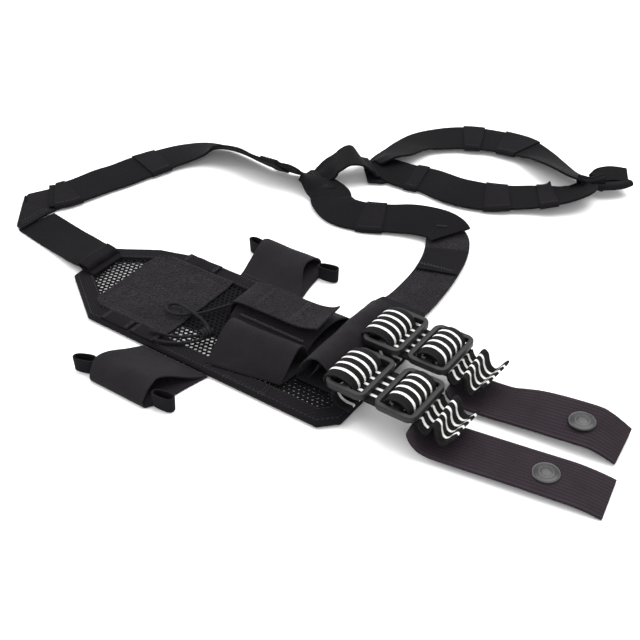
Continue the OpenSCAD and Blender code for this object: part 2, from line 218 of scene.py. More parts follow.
@dataclass(frozen=True)
class Cloth:
    """A woven, knitted or brushed finish.

    The yarns follow the piece's UV map, which is in metres: u along the piece, v across it.
    """

    name: str
    slot: str
    weave: Weave
    dark: Row
    light: Row
    across: float = 0.0009
    along: float = 0.0009
    depth: float = 0.00018
    roughness: float = 0.85
    sheen: float = 0.25
    width: float = 0.0

    def material(self) -> bpy.types.Material:
        """Builds the finish, once.

        Returns:
            Its material.
        """
        found = bpy.data.materials.get(self.name)
        if found:
            return found
        n = Nodes(self.name)
        uv = n.add("ShaderNodeSeparateXYZ")
        n.link(n.add("ShaderNodeTexCoord").outputs["UV"], uv.inputs[0])
        u, v = uv.outputs["X"], uv.outputs["Y"]
        height = self._relief(n, u, v)
        patchy = n.noise(70.0, 4.0)
        fuzz = n.noise(1500.0, 2.0)
        share = n.math("MULTIPLY", height, n.math("MULTIPLY_ADD", patchy, 1.1, 0.15))
        share = n.math("ADD", share, n.math("MULTIPLY_ADD", fuzz, 0.5, -0.25))
        if self.width:
            rim, spread = 0.0016, 0.0012
            edge = n.math("ABSOLUTE", n.math("SUBTRACT", v, self.width / 2))
            past = n.math("MAXIMUM", n.math("SUBTRACT", edge, self.width / 2 - rim), 0.0)
            worn = n.math("SMOOTH_MIN", n.math("DIVIDE", past, spread), 1.0, 0.2)
            share = n.math("ADD", share, n.math("MULTIPLY", worn, 0.35))
        colour = n.mix(n.clamp(share), self.dark, self.light)
        if self.weave is Weave.STRIPED:
            colour = self._stripes(n, v, height, colour)
        n.link(colour, n.shader.inputs["Base Color"])
        n.link(n.math("MULTIPLY_ADD", patchy, 0.12, self.roughness - 0.06), n.shader.inputs["Roughness"])
        n.bump(n.math("ADD", height, n.math("MULTIPLY", fuzz, 0.6)), self.depth)
        n.set(Sheen_Weight=self.sheen, Sheen_Roughness=0.45, Specular_IOR_Level=0.07)
        return n.material

    def _relief(self, n: Nodes, u: object, v: object) -> object:
        """The height of the yarns.

        Args:
            n: the material being built.
            u: metres along.
            v: metres across.

        Returns:
            A socket from 0 to 1.
        """
        if self.weave is Weave.BRUSHED:
            return n.clamp(n.math("MULTIPLY_ADD", n.noise(860.0, 5.0), 2.15, -0.6))
        row = n.math("FLOOR", n.math("DIVIDE", v, self.across))
        turned = n.math("MULTIPLY", row, math.pi)
        yarn = n.math("ABSOLUTE", n.math("SINE", n.math("MULTIPLY", v, math.pi / self.across)))
        if self.weave is Weave.RIBBED:
            rib = n.math("POWER", yarn, 0.6)
            return n.math("MULTIPLY", rib, n.math("MULTIPLY_ADD", n.wave(u, self.along), 0.35, 0.65))
        if self.weave is Weave.BRAID:
            lean = 0.9
            skew = n.math("ADD", u, n.math("MULTIPLY", v, lean))
            back = n.math("SUBTRACT", u, n.math("MULTIPLY", v, lean))
            return n.math("MULTIPLY", n.wave(skew, self.along), n.wave(back, self.along))
        over = n.wave(u, 2 * self.along, turned)
        return n.math("MULTIPLY", yarn, n.math("MULTIPLY_ADD", over, 0.6, 0.4))

    def _stripes(self, n: Nodes, v: object, height: object, colour: object) -> object:
        """Lays four white bands along the cloth.

        Args:
            n: the material being built.
            v: metres across.
            height: the yarns' relief.
            colour: the ground's colour.

        Returns:
            The striped colour.
        """
        pitch, half = 0.0060, 0.00092
        middle = n.math("SUBTRACT", v, self.width / 2)
        cell = n.math("MODULO", n.math("ADD", middle, 4 * pitch), pitch)
        off = n.math("ABSOLUTE", n.math("SUBTRACT", cell, pitch / 2))
        ragged = n.math("MULTIPLY_ADD", n.noise(2600.0, 2.0), 0.0008, -0.0004)
        band = n.math("LESS_THAN", n.math("ADD", off, ragged), half)
        inside = n.math("LESS_THAN", n.math("ABSOLUTE", middle), 2 * pitch)
        white = n.mix(height, (0.62, 0.62, 0.6), (0.9, 0.9, 0.88))
        return n.mix(n.math("MULTIPLY", band, inside), colour, white)


@dataclass(frozen=True)
class Hard:
    """A moulded, lacquered or plated finish."""

    name: str
    slot: str
    colour: Row
    roughness: float
    metallic: float = 0.0
    grain: float = 2200.0
    depth: float = 0.00004
    coat: float = 0.0
    specular: float = 0.5

    def material(self) -> bpy.types.Material:
        """Builds the finish, once.

        Returns:
            Its material.
        """
        found = bpy.data.materials.get(self.name)
        if found:
            return found
        n = Nodes(self.name)
        fine = n.noise(self.grain, 3.0)
        broad = n.noise(90.0, 4.0)
        worn = n.math("MULTIPLY", n.math("MAXIMUM", n.math("SUBTRACT", broad, 0.55), 0.0), 2.0)
        lighter = tuple(min(1.0, c * 1.9 + 0.01) for c in self.colour)
        n.link(n.mix(worn, self.colour, lighter), n.shader.inputs["Base Color"])
        n.link(n.math("MULTIPLY_ADD", broad, 0.2, self.roughness - 0.1), n.shader.inputs["Roughness"])
        n.bump(fine, self.depth, 0.6)
        n.set(Metallic=self.metallic, Coat_Weight=self.coat, Coat_Roughness=0.3,
              Specular_IOR_Level=self.specular)
        return n.material


Finish = Cloth | Hard

MESH_KNIT = Cloth(
    "mesh_knit", "spacer_mesh", Weave.BRAID, dark=(0.003, 0.0026, 0.0032), light=(0.012, 0.0105, 0.013),
    across=0.0008, along=0.0008, sheen=0.01)
BINDING = Cloth(
    "binding", "binding_tape", Weave.PLAIN, dark=(0.003, 0.0026, 0.0034), light=(0.014, 0.012, 0.0155),
    across=0.0008, along=0.0007, sheen=0.015)
BRUSHED = Cloth(
    "brushed_loop", "loop_fabric", Weave.BRUSHED, dark=(0.0035, 0.003, 0.0038),
    light=(0.031, 0.0275, 0.0335), depth=0.0007, roughness=0.95, sheen=0.03)
POUCH = Cloth(
    "pouch_nylon", "pouch_fabric", Weave.PLAIN, dark=(0.0045, 0.0039, 0.005), light=(0.025, 0.022, 0.0265),
    across=0.0006, along=0.0006, depth=0.00016, roughness=0.8, sheen=0.03)
WEBBING = Cloth(
    "strap_webbing", "webbing", Weave.WEBBING, dark=(0.0012, 0.001, 0.0014), light=(0.0064, 0.0055, 0.007),
    across=0.0012, along=0.0009, depth=0.00022, roughness=0.75, sheen=0.01, width=0.030)
KEEPER = Cloth(
    "keeper_tape", "keeper_webbing", Weave.WEBBING, dark=(0.0023, 0.002, 0.0026),
    light=(0.0118, 0.0103, 0.0128), across=0.0009, along=0.0008, roughness=0.85, sheen=0.015)
STRIPED = Cloth(
    "elastic_stripes", "striped_elastic", Weave.STRIPED, dark=(0.003, 0.003, 0.0034),
    light=(0.014, 0.0135, 0.015), across=0.0008, along=0.0009, depth=0.0003, roughness=0.7, sheen=0.015,
    width=0.030)
RIBBED = Cloth(
    "elastic_ribs", "ribbed_elastic", Weave.RIBBED, dark=(0.0115, 0.0084, 0.0107),
    light=(0.032, 0.0238, 0.0305), across=0.0023, along=0.0008, depth=0.0003, roughness=0.8, sheen=0.03,
    width=0.030)
CORD = Cloth(
    "braided_cord", "cord", Weave.BRAID, dark=(0.005, 0.005, 0.006), light=(0.034, 0.033, 0.037),
    across=0.0007, along=0.0009, depth=0.0002, roughness=0.6, sheen=0.02)
THREAD = Hard("sewing_thread", "webbing", colour=(0.0068, 0.0062, 0.0075), roughness=0.6, grain=3000.0)
PLASTIC = Hard(
    "moulded_acetal", "moulded_plastic", colour=(0.0075, 0.0073, 0.0079), roughness=0.48, depth=0.00003,
    specular=0.28)
LACQUER = Hard(
    "snap_lacquer", "snap_cap_paint", colour=(0.021, 0.0205, 0.022), roughness=0.34, metallic=0.4, coat=0.15)
NICKEL = Hard("snap_nickel", "snap_steel", colour=(0.32, 0.32, 0.33), roughness=0.35, metallic=1.0)


# ---- sewing ----

@dataclass(frozen=True)
class Stitch:
    """The size of one stitch, in millimetres."""

    pitch: float
    length: float
    width: float = 0.4


BINDING_SEAM = Stitch(2.8, 1.9)
TAPE_TACK = Stitch(1.3, 1.1)
PATCH_SEAM = Stitch(2.6, 1.8, 0.35)
STRAP_SEAM = Stitch(2.4, 1.7)
WING_SEAM = Stitch(2.4, 1.7, 0.35)
BOX_SEAM = Stitch(2.2, 1.6)
POUCH_SEAM = Stitch(2.0, 1.5)
STRIP_TACK = Stitch(1.8, 1.3)
ZIGZAG = Stitch(1.7, 1.3, 0.5)
FRONT_TACK = Stitch(1.2, 1.05, 0.8)
# The rings that a stitch is drawn through: share of its length from the middle, and of its width.
THREAD_RINGS = ((-0.5, 0.35), (-0.28, 1.0), (0.28, 1.0), (0.5, 0.35))
THREAD_SIDES = 5


# ---- courses: the lines that straps and bands follow ----

@dataclass(frozen=True)
class Course:
    """A smooth line through rows of x, y, z in millimetres and a roll in degrees.

    A positive roll lifts the edge on the left of the direction of travel. With side given,
    the webbing's width keeps that direction instead.
    """

    rows: tuple[Row, ...]
    side: Row | None = None

    @property
    def last(self) -> int:
        """The number of the last row."""
        return len(self.rows) - 1

    def at(self, s: float) -> tuple[Vector, float]:
        """The place and the roll at a point of the course.

        Args:
            s: how far along, counted in rows.

        Returns:
            The place in millimetres and the roll in degrees.
        """
        s = max(0.0, min(float(self.last), s))
        i = min(int(s), self.last - 1)
        t = s - i
        b, c = self.rows[i], self.rows[i + 1]
        a = self.rows[i - 1] if i > 0 else tuple(2 * p - q for p, q in zip(b, c))
        d = self.rows[i + 2] if i < self.last - 1 else tuple(2 * q - p for p, q in zip(b, c))
        out = [0.5 * (2 * q + t * (r - p) + t * t * (2 * p - 5 * q + 4 * r - e)
                      + t ** 3 * (3 * q - p - 3 * r + e)) for p, q, r, e in zip(a, b, c, d)]
        return Vector(out[:3]), (out[3] if len(out) > 3 else 0.0)

    def axes(self, s: float) -> tuple[Vector, Vector, Vector]:
        """The place, the side direction and the upward one at a point.

        Args:
            s: how far along, counted in rows.

        Returns:
            The place in millimetres, and both directions.
        """
        p, roll = self.at(s)
        d = (self.at(s + 0.05)[0] - self.at(s - 0.05)[0]).normalized()
        if self.side is not None:
            across = Vector(self.side)
            return p, across, d.cross(across).normalized()
        left = Vector((-d.y, d.x, 0.0)).normalized()
        turn = math.radians(roll)
        across = math.cos(turn) * left + math.sin(turn) * d.cross(left)
        return p, across, d.cross(across)

    def length(self, s0: float, s1: float, steps: int = 60) -> float:
        """The length in metres between two rows."""
        points = [self.at(s0 + (s1 - s0) * i / steps)[0] for i in range(steps + 1)]
        return sum((q - p).length for p, q in zip(points, points[1:])) * MM

    def points(self, s0: float, s1: float, steps: int, lift: float = 0.0,
               off: float = 0.0) -> list[Vector]:
        """Points along the course, or beside it.

        Args:
            s0: the first row.
            s1: the last row.
            steps: the steps between them.
            lift: millimetres above the course.
            off: millimetres to its left.

        Returns:
            The points, in metres.
        """
        out = []
        for i in range(steps + 1):
            p, across, up = self.axes(s0 + (s1 - s0) * i / steps)
            out.append((p + across * off + up * lift) * MM)
        return out


def local_course(origin: tuple[float, float], degrees: float, rows: Iterable[Row]) -> Course:
    """A course in the upright plane along a turned line.

    Args:
        origin: where the line starts, in millimetres.
        degrees: how far the line is turned from +X.
        rows: distance along the line and height, in millimetres.

    Returns:
        The course, whose width keeps square to the line.
    """
    turn = math.radians(degrees)
    dx, dy = math.cos(turn), math.sin(turn)
    made = tuple((origin[0] + u * dx, origin[1] + u * dy, z) for u, z in rows)
    return Course(made, (-dy, dx, 0.0))


# ---- the workbench ----

class Bench:
    """The few ways in which every piece is made."""

    @staticmethod
    def clear() -> None:
        """Leaves nothing selected."""
        bpy.ops.object.select_all(action="DESELECT")

    @staticmethod
    def pick(piece: bpy.types.Object) -> None:
        """Selects one piece and makes it active.

        Args:
            piece: the piece.
        """
        Bench.clear()
        piece.select_set(True)
        bpy.context.view_layer.objects.active = piece

    @staticmethod
    def apply(piece: bpy.types.Object, kind: str, **values: object) -> None:
        """Adds a modifier and applies it.

        Args:
            piece: the piece that gets it.
            kind: the modifier's Blender type.
            **values: the modifier's settings.
        """
        Bench.pick(piece)
        modifier = piece.modifiers.new(kind.lower(), kind)
        for key, value in values.items():
            setattr(modifier, key, value)
        bpy.ops.object.modifier_apply(modifier=modifier.name)

    @staticmethod
    def weld(piece: bpy.types.Object, distance: float = 1e-5, fix: bool = False) -> None:
        """Merges points that coincide.

        Args:
            piece: the piece to weld.
            distance: how close they are, in metres.
            fix: True to turn all faces outwards as well.
        """
        Bench.pick(piece)
        bpy.ops.object.mode_set(mode="EDIT")
        bpy.ops.mesh.select_all(action="SELECT")
        bpy.ops.mesh.remove_doubles(threshold=distance)
        if fix:
            bpy.ops.mesh.normals_make_consistent(inside=False)
        bpy.ops.object.mode_set(mode="OBJECT")

    @staticmethod
    def soften(piece: bpy.types.Object, width: float, segments: int = 2, degrees: float = 60.0) -> None:
        """Rounds the edges that turn by more than an angle.

        Args:
            piece: the piece that is rounded.
            width: of the rounding, in metres.
            segments: steps across it.
            degrees: the least turn that counts as an edge.
        """
        Bench.apply(piece, "BEVEL", width=width, segments=segments, limit_method="ANGLE",
                    angle_limit=math.radians(degrees))

    @staticmethod
    def map_flat(piece: bpy.types.Object, slant: float = 0.0) -> None:
        """Lays the yarns by their place from above.

        Args:
            piece: the piece that gets its UV map.
            slant: how far its height moves them, so that upright edges aren't streaked.
        """
        layer = piece.data.uv_layers.active or piece.data.uv_layers.new()
        for loop in piece.data.loops:
            co = piece.data.vertices[loop.vertex_index].co
            layer.data[loop.index].uv = (co.x + slant * co.z, co.y + slant * co.z)

    @staticmethod
    def from_faces(name: str, vertices: Sequence[Vector], faces: Sequence[tuple[int, ...]],
                   distance: float, fix: bool = False) -> bpy.types.Object:
        """A piece of hundreds of small equal parts, from its points and faces.

        Args:
            name: what the piece is called.
            vertices: its points, in metres.
            faces: the points of each face.
            distance: how close points are merged, in metres.
            fix: True to turn all faces outwards as well.

        Returns:
            The piece, without a finish.
        """
        mesh = bpy.data.meshes.new(name)
        mesh.from_pydata(vertices, [], faces)
        piece = bpy.data.objects.new(name, mesh)
        bpy.context.scene.collection.objects.link(piece)
        Bench.weld(piece, distance, fix)
        return piece

    @staticmethod
    def settle(piece: bpy.types.Object) -> None:
        """Puts the piece's place into its mesh."""
        Bench.pick(piece)
        bpy.ops.object.transform_apply(location=True, rotation=True, scale=True)

    @staticmethod
    def smooth(piece: bpy.types.Object, degrees: float = 40.0) -> None:
        """Shades a piece smooth below an angle."""
        Bench.pick(piece)
        bpy.ops.object.shade_smooth_by_angle(angle=math.radians(degrees))

    @staticmethod
    def join(pieces: Sequence[bpy.types.Object], name: str) -> bpy.types.Object:
        """Joins pieces into one.

        Args:
            pieces: what is joined.
            name: what the result is called.

        Returns:
            The joined piece.
        """
        Bench.clear()
        for piece in pieces:
            piece.select_set(True)
        bpy.context.view_layer.objects.active = pieces[0]
        if len(pieces) > 1:
            bpy.ops.object.join()
        pieces[0].name = name
        return pieces[0]

    @staticmethod
    def dress(piece: bpy.types.Object, finish: Finish) -> bpy.types.Object:
        """Gives a piece its finish, on all its faces.

        Args:
            piece: the piece.
            finish: what it gets.

        Returns:
            The same piece.
        """
        piece.data.materials.clear()
        piece.data.materials.append(finish.material())
        return piece

    @staticmethod
    def grid(name: str, nu: int, nv: int, place: Place, size: tuple[float, float]) -> bpy.types.Object:
        """A sheet laid out from a flat grid.

        Args:
            name: what the piece is called.
            nu: divisions along.
            nv: divisions across.
            place: where each share along and across goes, in metres.
            size: metres along and across, for the yarns.

        Returns:
            The sheet, without thickness.
        """
        Bench.clear()
        bpy.ops.mesh.primitive_grid_add(x_subdivisions=nu, y_subdivisions=nv, size=1.0, calc_uvs=True)
        piece = bpy.context.active_object
        piece.name = name
        shares = [(v.co.x + 0.5, v.co.y + 0.5) for v in piece.data.vertices]
        layer = piece.data.uv_layers.active.data
        for loop in piece.data.loops:
            a, b = shares[loop.vertex_index]
            layer[loop.index].uv = (a * size[0], b * size[1])
        for vertex, (a, b) in zip(piece.data.vertices, shares):
            vertex.co = place(a, b)
        piece.data.update()
        return piece

    @staticmethod
    def cloth(name: str, nu: int, nv: int, place: Place, size: tuple[float, float], thickness: float,
              finish: Finish, closed: bool = False, round_edge: float = 0.0,
              fix: bool = False) -> bpy.types.Object:
        """A sheet of cloth with its thickness and finish.

        Args:
            name: what the piece is called.
            nu: divisions along.
            nv: divisions across.
            place: where each share along and across goes, in metres.
            size: metres along and across, for the yarns.
            thickness: of the cloth, in metres.
            finish: its finish.
            closed: True where the width closes on itself.
            round_edge: the radius of its cut edges, in metres.
            fix: True to turn the faces of a closed one outwards.

        Returns:
            The finished piece.
        """
        piece = Bench.grid(name, nu, nv, place, size)
        if closed:
            Bench.weld(piece, fix=fix)
        Bench.apply(piece, "SOLIDIFY", thickness=thickness, offset=0.0)
        if round_edge:
            Bench.soften(piece, round_edge)
        Bench.smooth(piece)
        return Bench.dress(piece, finish)

    @staticmethod
    def plate(name: str, outline: Sequence[Row], z0: float, z1: float, finish: Finish,
              bevel: float = 0.5) -> bpy.types.Object:
        """A flat patch with rounded edges, from its outline in millimetres.

        Args:
            name: what the piece is called.
            outline: its corners, in order.
            z0: the height of its underside.
            z1: the height of its top.
            finish: its finish.
            bevel: the radius of its edges.

        Returns:
            The finished piece.
        """
        Bench.clear()
        bpy.ops.mesh.primitive_circle_add(vertices=len(outline), fill_type="NGON", calc_uvs=True)
        piece = bpy.context.active_object
        piece.name = name
        for vertex, corner in zip(piece.data.vertices, outline):
            vertex.co = Vector((corner[0], corner[1], z0)) * MM
        Bench.apply(piece, "SOLIDIFY", thickness=(z1 - z0) * MM, offset=-1.0)
        Bench.weld(piece, fix=True)
        lowest = min(v.co.z for v in piece.data.vertices)
        for vertex in piece.data.vertices:
            vertex.co.z += z0 * MM - lowest
        Bench.soften(piece, bevel * MM, 3, 40.0)
        Bench.map_flat(piece, 0.4)
        Bench.smooth(piece)
        return Bench.dress(piece, finish)

    @staticmethod
    def stitches(name: str, rows: Sequence[Sequence[Vector]], stitch: Stitch) -> bpy.types.Object:
        """Rows of sewn stitches, each a short thread sunk at both ends.

        Args:
            name: what the piece is called.
            rows: the lines that they follow, in metres.
            stitch: the size of one.

        Returns:
            All the stitches as one piece.
        """
        vertices: list[Vector] = []
        faces: list[tuple[int, ...]] = []
        for line in rows:
            travelled, goal = 0.0, stitch.pitch * MM / 2
            for p, q in zip(line, line[1:]):
                step = (q - p).length
                while step > 0 and goal <= travelled + step:
                    middle = p.lerp(q, (goal - travelled) / step)
                    Bench._thread(vertices, faces, middle, (q - p).normalized(), stitch)
                    goal += stitch.pitch * MM
                travelled += step
        piece = Bench.from_faces(name, vertices, faces, 1e-7, fix=True)
        Bench.smooth(piece, 60)
        return Bench.dress(piece, THREAD)

    @staticmethod
    def _thread(vertices: list[Vector], faces: list[tuple[int, ...]], middle: Vector, d: Vector,
                stitch: Stitch) -> None:
        """Adds one stitch to the lists.

        Args:
            vertices: the points so far.
            faces: the faces so far.
            middle: the stitch's middle, in metres.
            d: the direction that it runs in.
            stitch: its size.
        """
        side = d.cross(UP).normalized()
        up = side.cross(d)
        base = len(vertices)
        for share, fat in THREAD_RINGS:
            sunk = -0.2 * stitch.width if fat < 1 else 0.12 * stitch.width
            for k in range(THREAD_SIDES):
                turn = 2 * math.pi * k / THREAD_SIDES
                out = side * math.cos(turn) + up * math.sin(turn)
                vertices.append(
                    middle + (d * share * stitch.length + out * stitch.width * fat / 2 + up * sunk) * MM)
        last = len(THREAD_RINGS) - 1
        for level in range(last):
            ring = base + level * THREAD_SIDES
            for k in range(THREAD_SIDES):
                a, b = ring + k, ring + (k + 1) % THREAD_SIDES
                faces.append((a, b, b + THREAD_SIDES, a + THREAD_SIDES))
        faces.append(tuple(base + k for k in reversed(range(THREAD_SIDES))))
        faces.append(tuple(base + last * THREAD_SIDES + k for k in range(THREAD_SIDES)))

    @staticmethod
    def turned(name: str, profile: Sequence[tuple[float, float]], place: Vector,
               finish: Finish) -> bpy.types.Object:
        """A round piece, drawn up ring by ring from a circle.

        Args:
            name: what the piece is called.
            profile: radius and height of each ring, from the underside's edge over the top, in millimetres.
            place: where its axis meets height 0, in metres.
            finish: its finish.

        Returns:
            The finished piece.
        """
        Bench.clear()
        around = 64
        bpy.ops.mesh.primitive_circle_add(vertices=around, radius=profile[0][0] * MM, fill_type="NGON",
                                          location=(0, 0, profile[0][1] * MM))
        piece = bpy.context.active_object
        piece.name = name
        Bench.settle(piece)
        bpy.ops.object.mode_set(mode="EDIT")
        bpy.ops.mesh.select_all(action="SELECT")
        for (r0, z0), (r1, z1) in zip(profile, profile[1:]):
            bpy.ops.mesh.extrude_region_move(TRANSFORM_OT_translate={"value": (0, 0, (z1 - z0) * MM)})
            share = r1 / r0
            bpy.ops.transform.resize(value=(share, share, 1.0), center_override=(0.0, 0.0, z1 * MM))
        bpy.ops.mesh.select_all(action="SELECT")
        bpy.ops.mesh.normals_make_consistent(inside=False)
        bpy.ops.object.mode_set(mode="OBJECT")
        for vertex in piece.data.vertices:
            vertex.co += place
        Bench.smooth(piece, 30)
        return Bench.dress(piece, finish)


def ripple(x: float, y: float, seed: float, size: float) -> float:
    """A smooth unevenness from about -1 to 1.

    Args:
        x: a coordinate in millimetres.
        y: another coordinate in millimetres.
        seed: which unevenness.
        size: millimetres across one swell.

    Returns:
        Its height.
    """
    return noise.noise(Vector((x / size, y / size, seed * 7.31)))


def soft_hump(w: float, h: float, lean: float, share: float) -> tuple[float, float]:
    """A point of a humped half-profile.

    Args:
        w: its width.
        h: its height.
        lean: how far its crest is moved to the far end.
        share: from 0 to 1 along its base.

    Returns:
        The distance along the base and the height.
    """
    return w * share, h * max(0.0, math.sin(math.pi * share ** lean)) ** 0.55


def stadium(width: float, depth: float, share: float) -> tuple[float, float]:
    """A point of a flat loop with round ends, by its share of the loop's length.

    Args:
        width: of the loop.
        depth: of the loop.
        share: from 0 to 1, from the middle of one round end.

    Returns:
        The point across and up.
    """
    r = depth / 2
    flat = width - depth
    total = 2 * flat + 2 * math.pi * r
    at = (share * total) % total
    if at < math.pi * r / 2:
        turn = at / r
        return flat / 2 + r * math.cos(turn), r * math.sin(turn)
    at -= math.pi * r / 2
    if at < flat:
        return flat / 2 - at, r
    at -= flat
    if at < math.pi * r:
        turn = math.pi / 2 + at / r
        return -flat / 2 + r * math.cos(turn), r * math.sin(turn)
    at -= math.pi * r
    if at < flat:
        return -flat / 2 + at, -r
    turn = 1.5 * math.pi + (at - flat) / r
    return flat / 2 + r * math.cos(turn), r * math.sin(turn)


def place_piece(piece: bpy.types.Object, body: str, *nodes: str) -> bpy.types.Object:
    """Rides a piece on its body in place of CAD nodes.

    Args:
        piece: the finished piece.
        body: the body it moves with.
        *nodes: the nodes it stands for.

    Returns:
        The piece.
    """
    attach(piece, body)
    if nodes:
        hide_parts(*nodes)
    log.info("%s on %s: %d faces", piece.name, body, len(piece.data.polygons))
    return piece


# ---- stage ----

@dataclass
class Studio:
    """The pale floor, the soft lights and the camera."""

    eye: Row = (360.8, -410.4, 418.0)
    target: Row = (47.8, 37.9, 0.0)
    lens: float = 61.875

    def build(self) -> None:
        """Sets up the camera, the lights, the world and the floor."""
        scene = bpy.context.scene
        camera = bpy.data.objects.new("camera", bpy.data.cameras.new("camera"))
        scene.collection.objects.link(camera)
        camera.location = Vector(self.eye) * MM
        camera.rotation_euler = (Vector(self.target) - Vector(self.eye)).to_track_quat("-Z", "Y").to_euler()
        camera.data.lens = self.lens
        camera.data.sensor_width = 36.0
        camera.data.clip_start = 0.01
        scene.camera = camera
        self._light("overhead", (0.15, 0.55, 1.25), 1.3, 22.0)
        self._light("left", (-1.1, -0.2, 0.9), 0.9, 9.0)
        self._light("front", (0.9, -1.2, 0.9), 1.0, 6.0)
        world = bpy.data.worlds.new("studio")
        world.use_nodes = True
        world.node_tree.nodes["Background"].inputs[0].default_value = (1.0, 1.0, 1.0, 1.0)
        world.node_tree.nodes["Background"].inputs[1].default_value = 0.95
        scene.world = world
        scene.view_settings.view_transform = "Standard"
        self._floor()

    def _light(self, name: str, place: Row, size: float, power: float) -> None:
        """Adds a square soft light that faces the harness.

        Args:
            name: what the light is called.
            place: where it hangs, in metres.
            size: its side, in metres.
            power: in watts.
        """
        lamp = bpy.data.lights.new(name, "AREA")
        lamp.size, lamp.energy = size, power
        holder = bpy.data.objects.new(name, lamp)
        bpy.context.scene.collection.objects.link(holder)
        holder.location = place
        holder.rotation_euler = (Vector((0.05, 0.1, 0)) - Vector(place)).to_track_quat("-Z", "Y").to_euler()

    def _floor(self) -> None:
        """Adds the floor, with a very faint unevenness in its white."""
        Bench.clear()
        bpy.ops.mesh.primitive_plane_add(size=8.0, location=(0, 0, -0.0003))
        floor = bpy.context.active_object
        floor.name = "floor"
        n = Nodes("floor_white")
        n.link(n.mix(n.noise(3.0), (0.88, 0.88, 0.88), (0.92, 0.92, 0.92)), n.shader.inputs["Base Color"])
        n.set(Roughness=0.9)
        floor.data.materials.append(n.material)


# ---- cord ----

@dataclass
class ElasticCord:
    """The thin cord: a loop, a wound knot and two ends."""

    radius: float = 1.0
    loop: tuple[Row, ...] = (
        (3, 17, 7), (-1, 14, 6.6), (-6, 6, 6.2), (-12, -5, 6.2), (-18, -12, 6.6), (-24, -16, 6.8),
        (-30, -16, 6.8), (-34, -12, 6.8), (-32, -8, 6.8), (-27, -7, 7.2), (-20, -9, 8.6),
        (-12, -11, 9.2), (-5, -12.5, 8.6), (1, -15, 7.8), (4, -17, 7.6))
    end_a: tuple[Row, ...] = (
        (3, -24, 7.6), (-1, -27, 7), (-6, -30, 6.2), (-12, -33, 5.8), (-18, -35.5, 6.9), (-25, -37.5, 7.2))
    end_b: tuple[Row, ...] = (
        (6.5, -25.5, 7.6), (4, -29, 7), (0, -32.5, 6.2), (-5, -36, 5.8), (-11, -39.5, 5.8),
        (-16.5, -42, 6.4), (-18.5, -42.8, 6.9))
    knot: Row = (5.0, -20.8, 8.0)

    def build(self) -> None:
        """Lays the cord and winds its knot."""
        self._lay("cord_line", self.loop, "cord_loop", 4)
        self._lay("cord_tail_a", self.end_a, "cord_end_a", 6)
        self._lay("cord_tail_b", self.end_b, "cord_end_b", 6)
        self._knot()

    def _lay(self, name: str, rows: tuple[Row, ...], node: str, per_row: int) -> None:
        """Args:
            name: what the run is called.
            rows: its course, in millimetres.
            node: the node it stands for.
            per_row: divisions to each row.
        """
        course = Course(rows)
        steps = course.last * per_row
        long = course.length(0, course.last, steps)
        around = 12

        def spot(a: float, b: float) -> Vector:
            """A point of the cord's round skin.

            Args:
                a: the share along.
                b: the share round.

            Returns:
                The place, in metres.
            """
            p, across, up = course.axes(a * course.last)
            turn = 2 * math.pi * b
            return (p + (across * math.cos(turn) + up * math.sin(turn)) * self.radius) * MM

        piece = Bench.grid(name, steps, around, spot, (long, 2 * math.pi * self.radius * MM))
        Bench.weld(piece)
        Bench.pick(piece)
        bpy.ops.object.mode_set(mode="EDIT")
        bpy.ops.mesh.select_all(action="DESELECT")
        bpy.ops.mesh.select_non_manifold()
        bpy.ops.mesh.edge_face_add()
        bpy.ops.mesh.select_all(action="SELECT")
        bpy.ops.mesh.normals_make_consistent(inside=False)
        bpy.ops.object.mode_set(mode="OBJECT")
        Bench.smooth(piece, 60)
        Bench.dress(piece, CORD)
        place_piece(piece, ROOT, node)

    def _knot(self) -> None:
        """Winds the cord three times round itself."""
        turns, steps, r, wire, long = 3.2, 96, 2.6, 0.95, 6.4
        axis = Vector((math.cos(math.radians(70)), math.sin(math.radians(70)), 0.0))
        across = axis.cross(UP)
        centre = Vector(self.knot)

        def line(a: float) -> Vector:
            """The middle of the wound cord.

            Args:
                a: the share along.

            Returns:
                The place, in millimetres.
            """
            turn = 2 * math.pi * turns * a
            wobble = 0.25 * math.sin(3 * turn)
            out = across * math.cos(turn) + UP * math.sin(turn)
            return centre + axis * (a - 0.5) * long + out * (r + wobble)

        def spot(a: float, b: float) -> Vector:
            """A point of the winding's skin.

            Args:
                a: the share along.
                b: the share round.

            Returns:
                The place, in metres.
            """
            p = line(a)
            d = (line(min(1.0, a + 0.004)) - line(max(0.0, a - 0.004))).normalized()
            out = (p - centre - axis * (p - centre).dot(axis)).normalized()
            turn = 2 * math.pi * b
            return (p + (out * math.cos(turn) + d.cross(out) * math.sin(turn)) * wire) * MM

        piece = Bench.grid("cord_winding", steps, 10, spot, (0.055, 0.006))
        Bench.weld(piece, fix=True)
        Bench.smooth(piece, 60)
        Bench.dress(piece, CORD)
        place_piece(piece, ROOT, "cord_knot")


# ---- panel ----

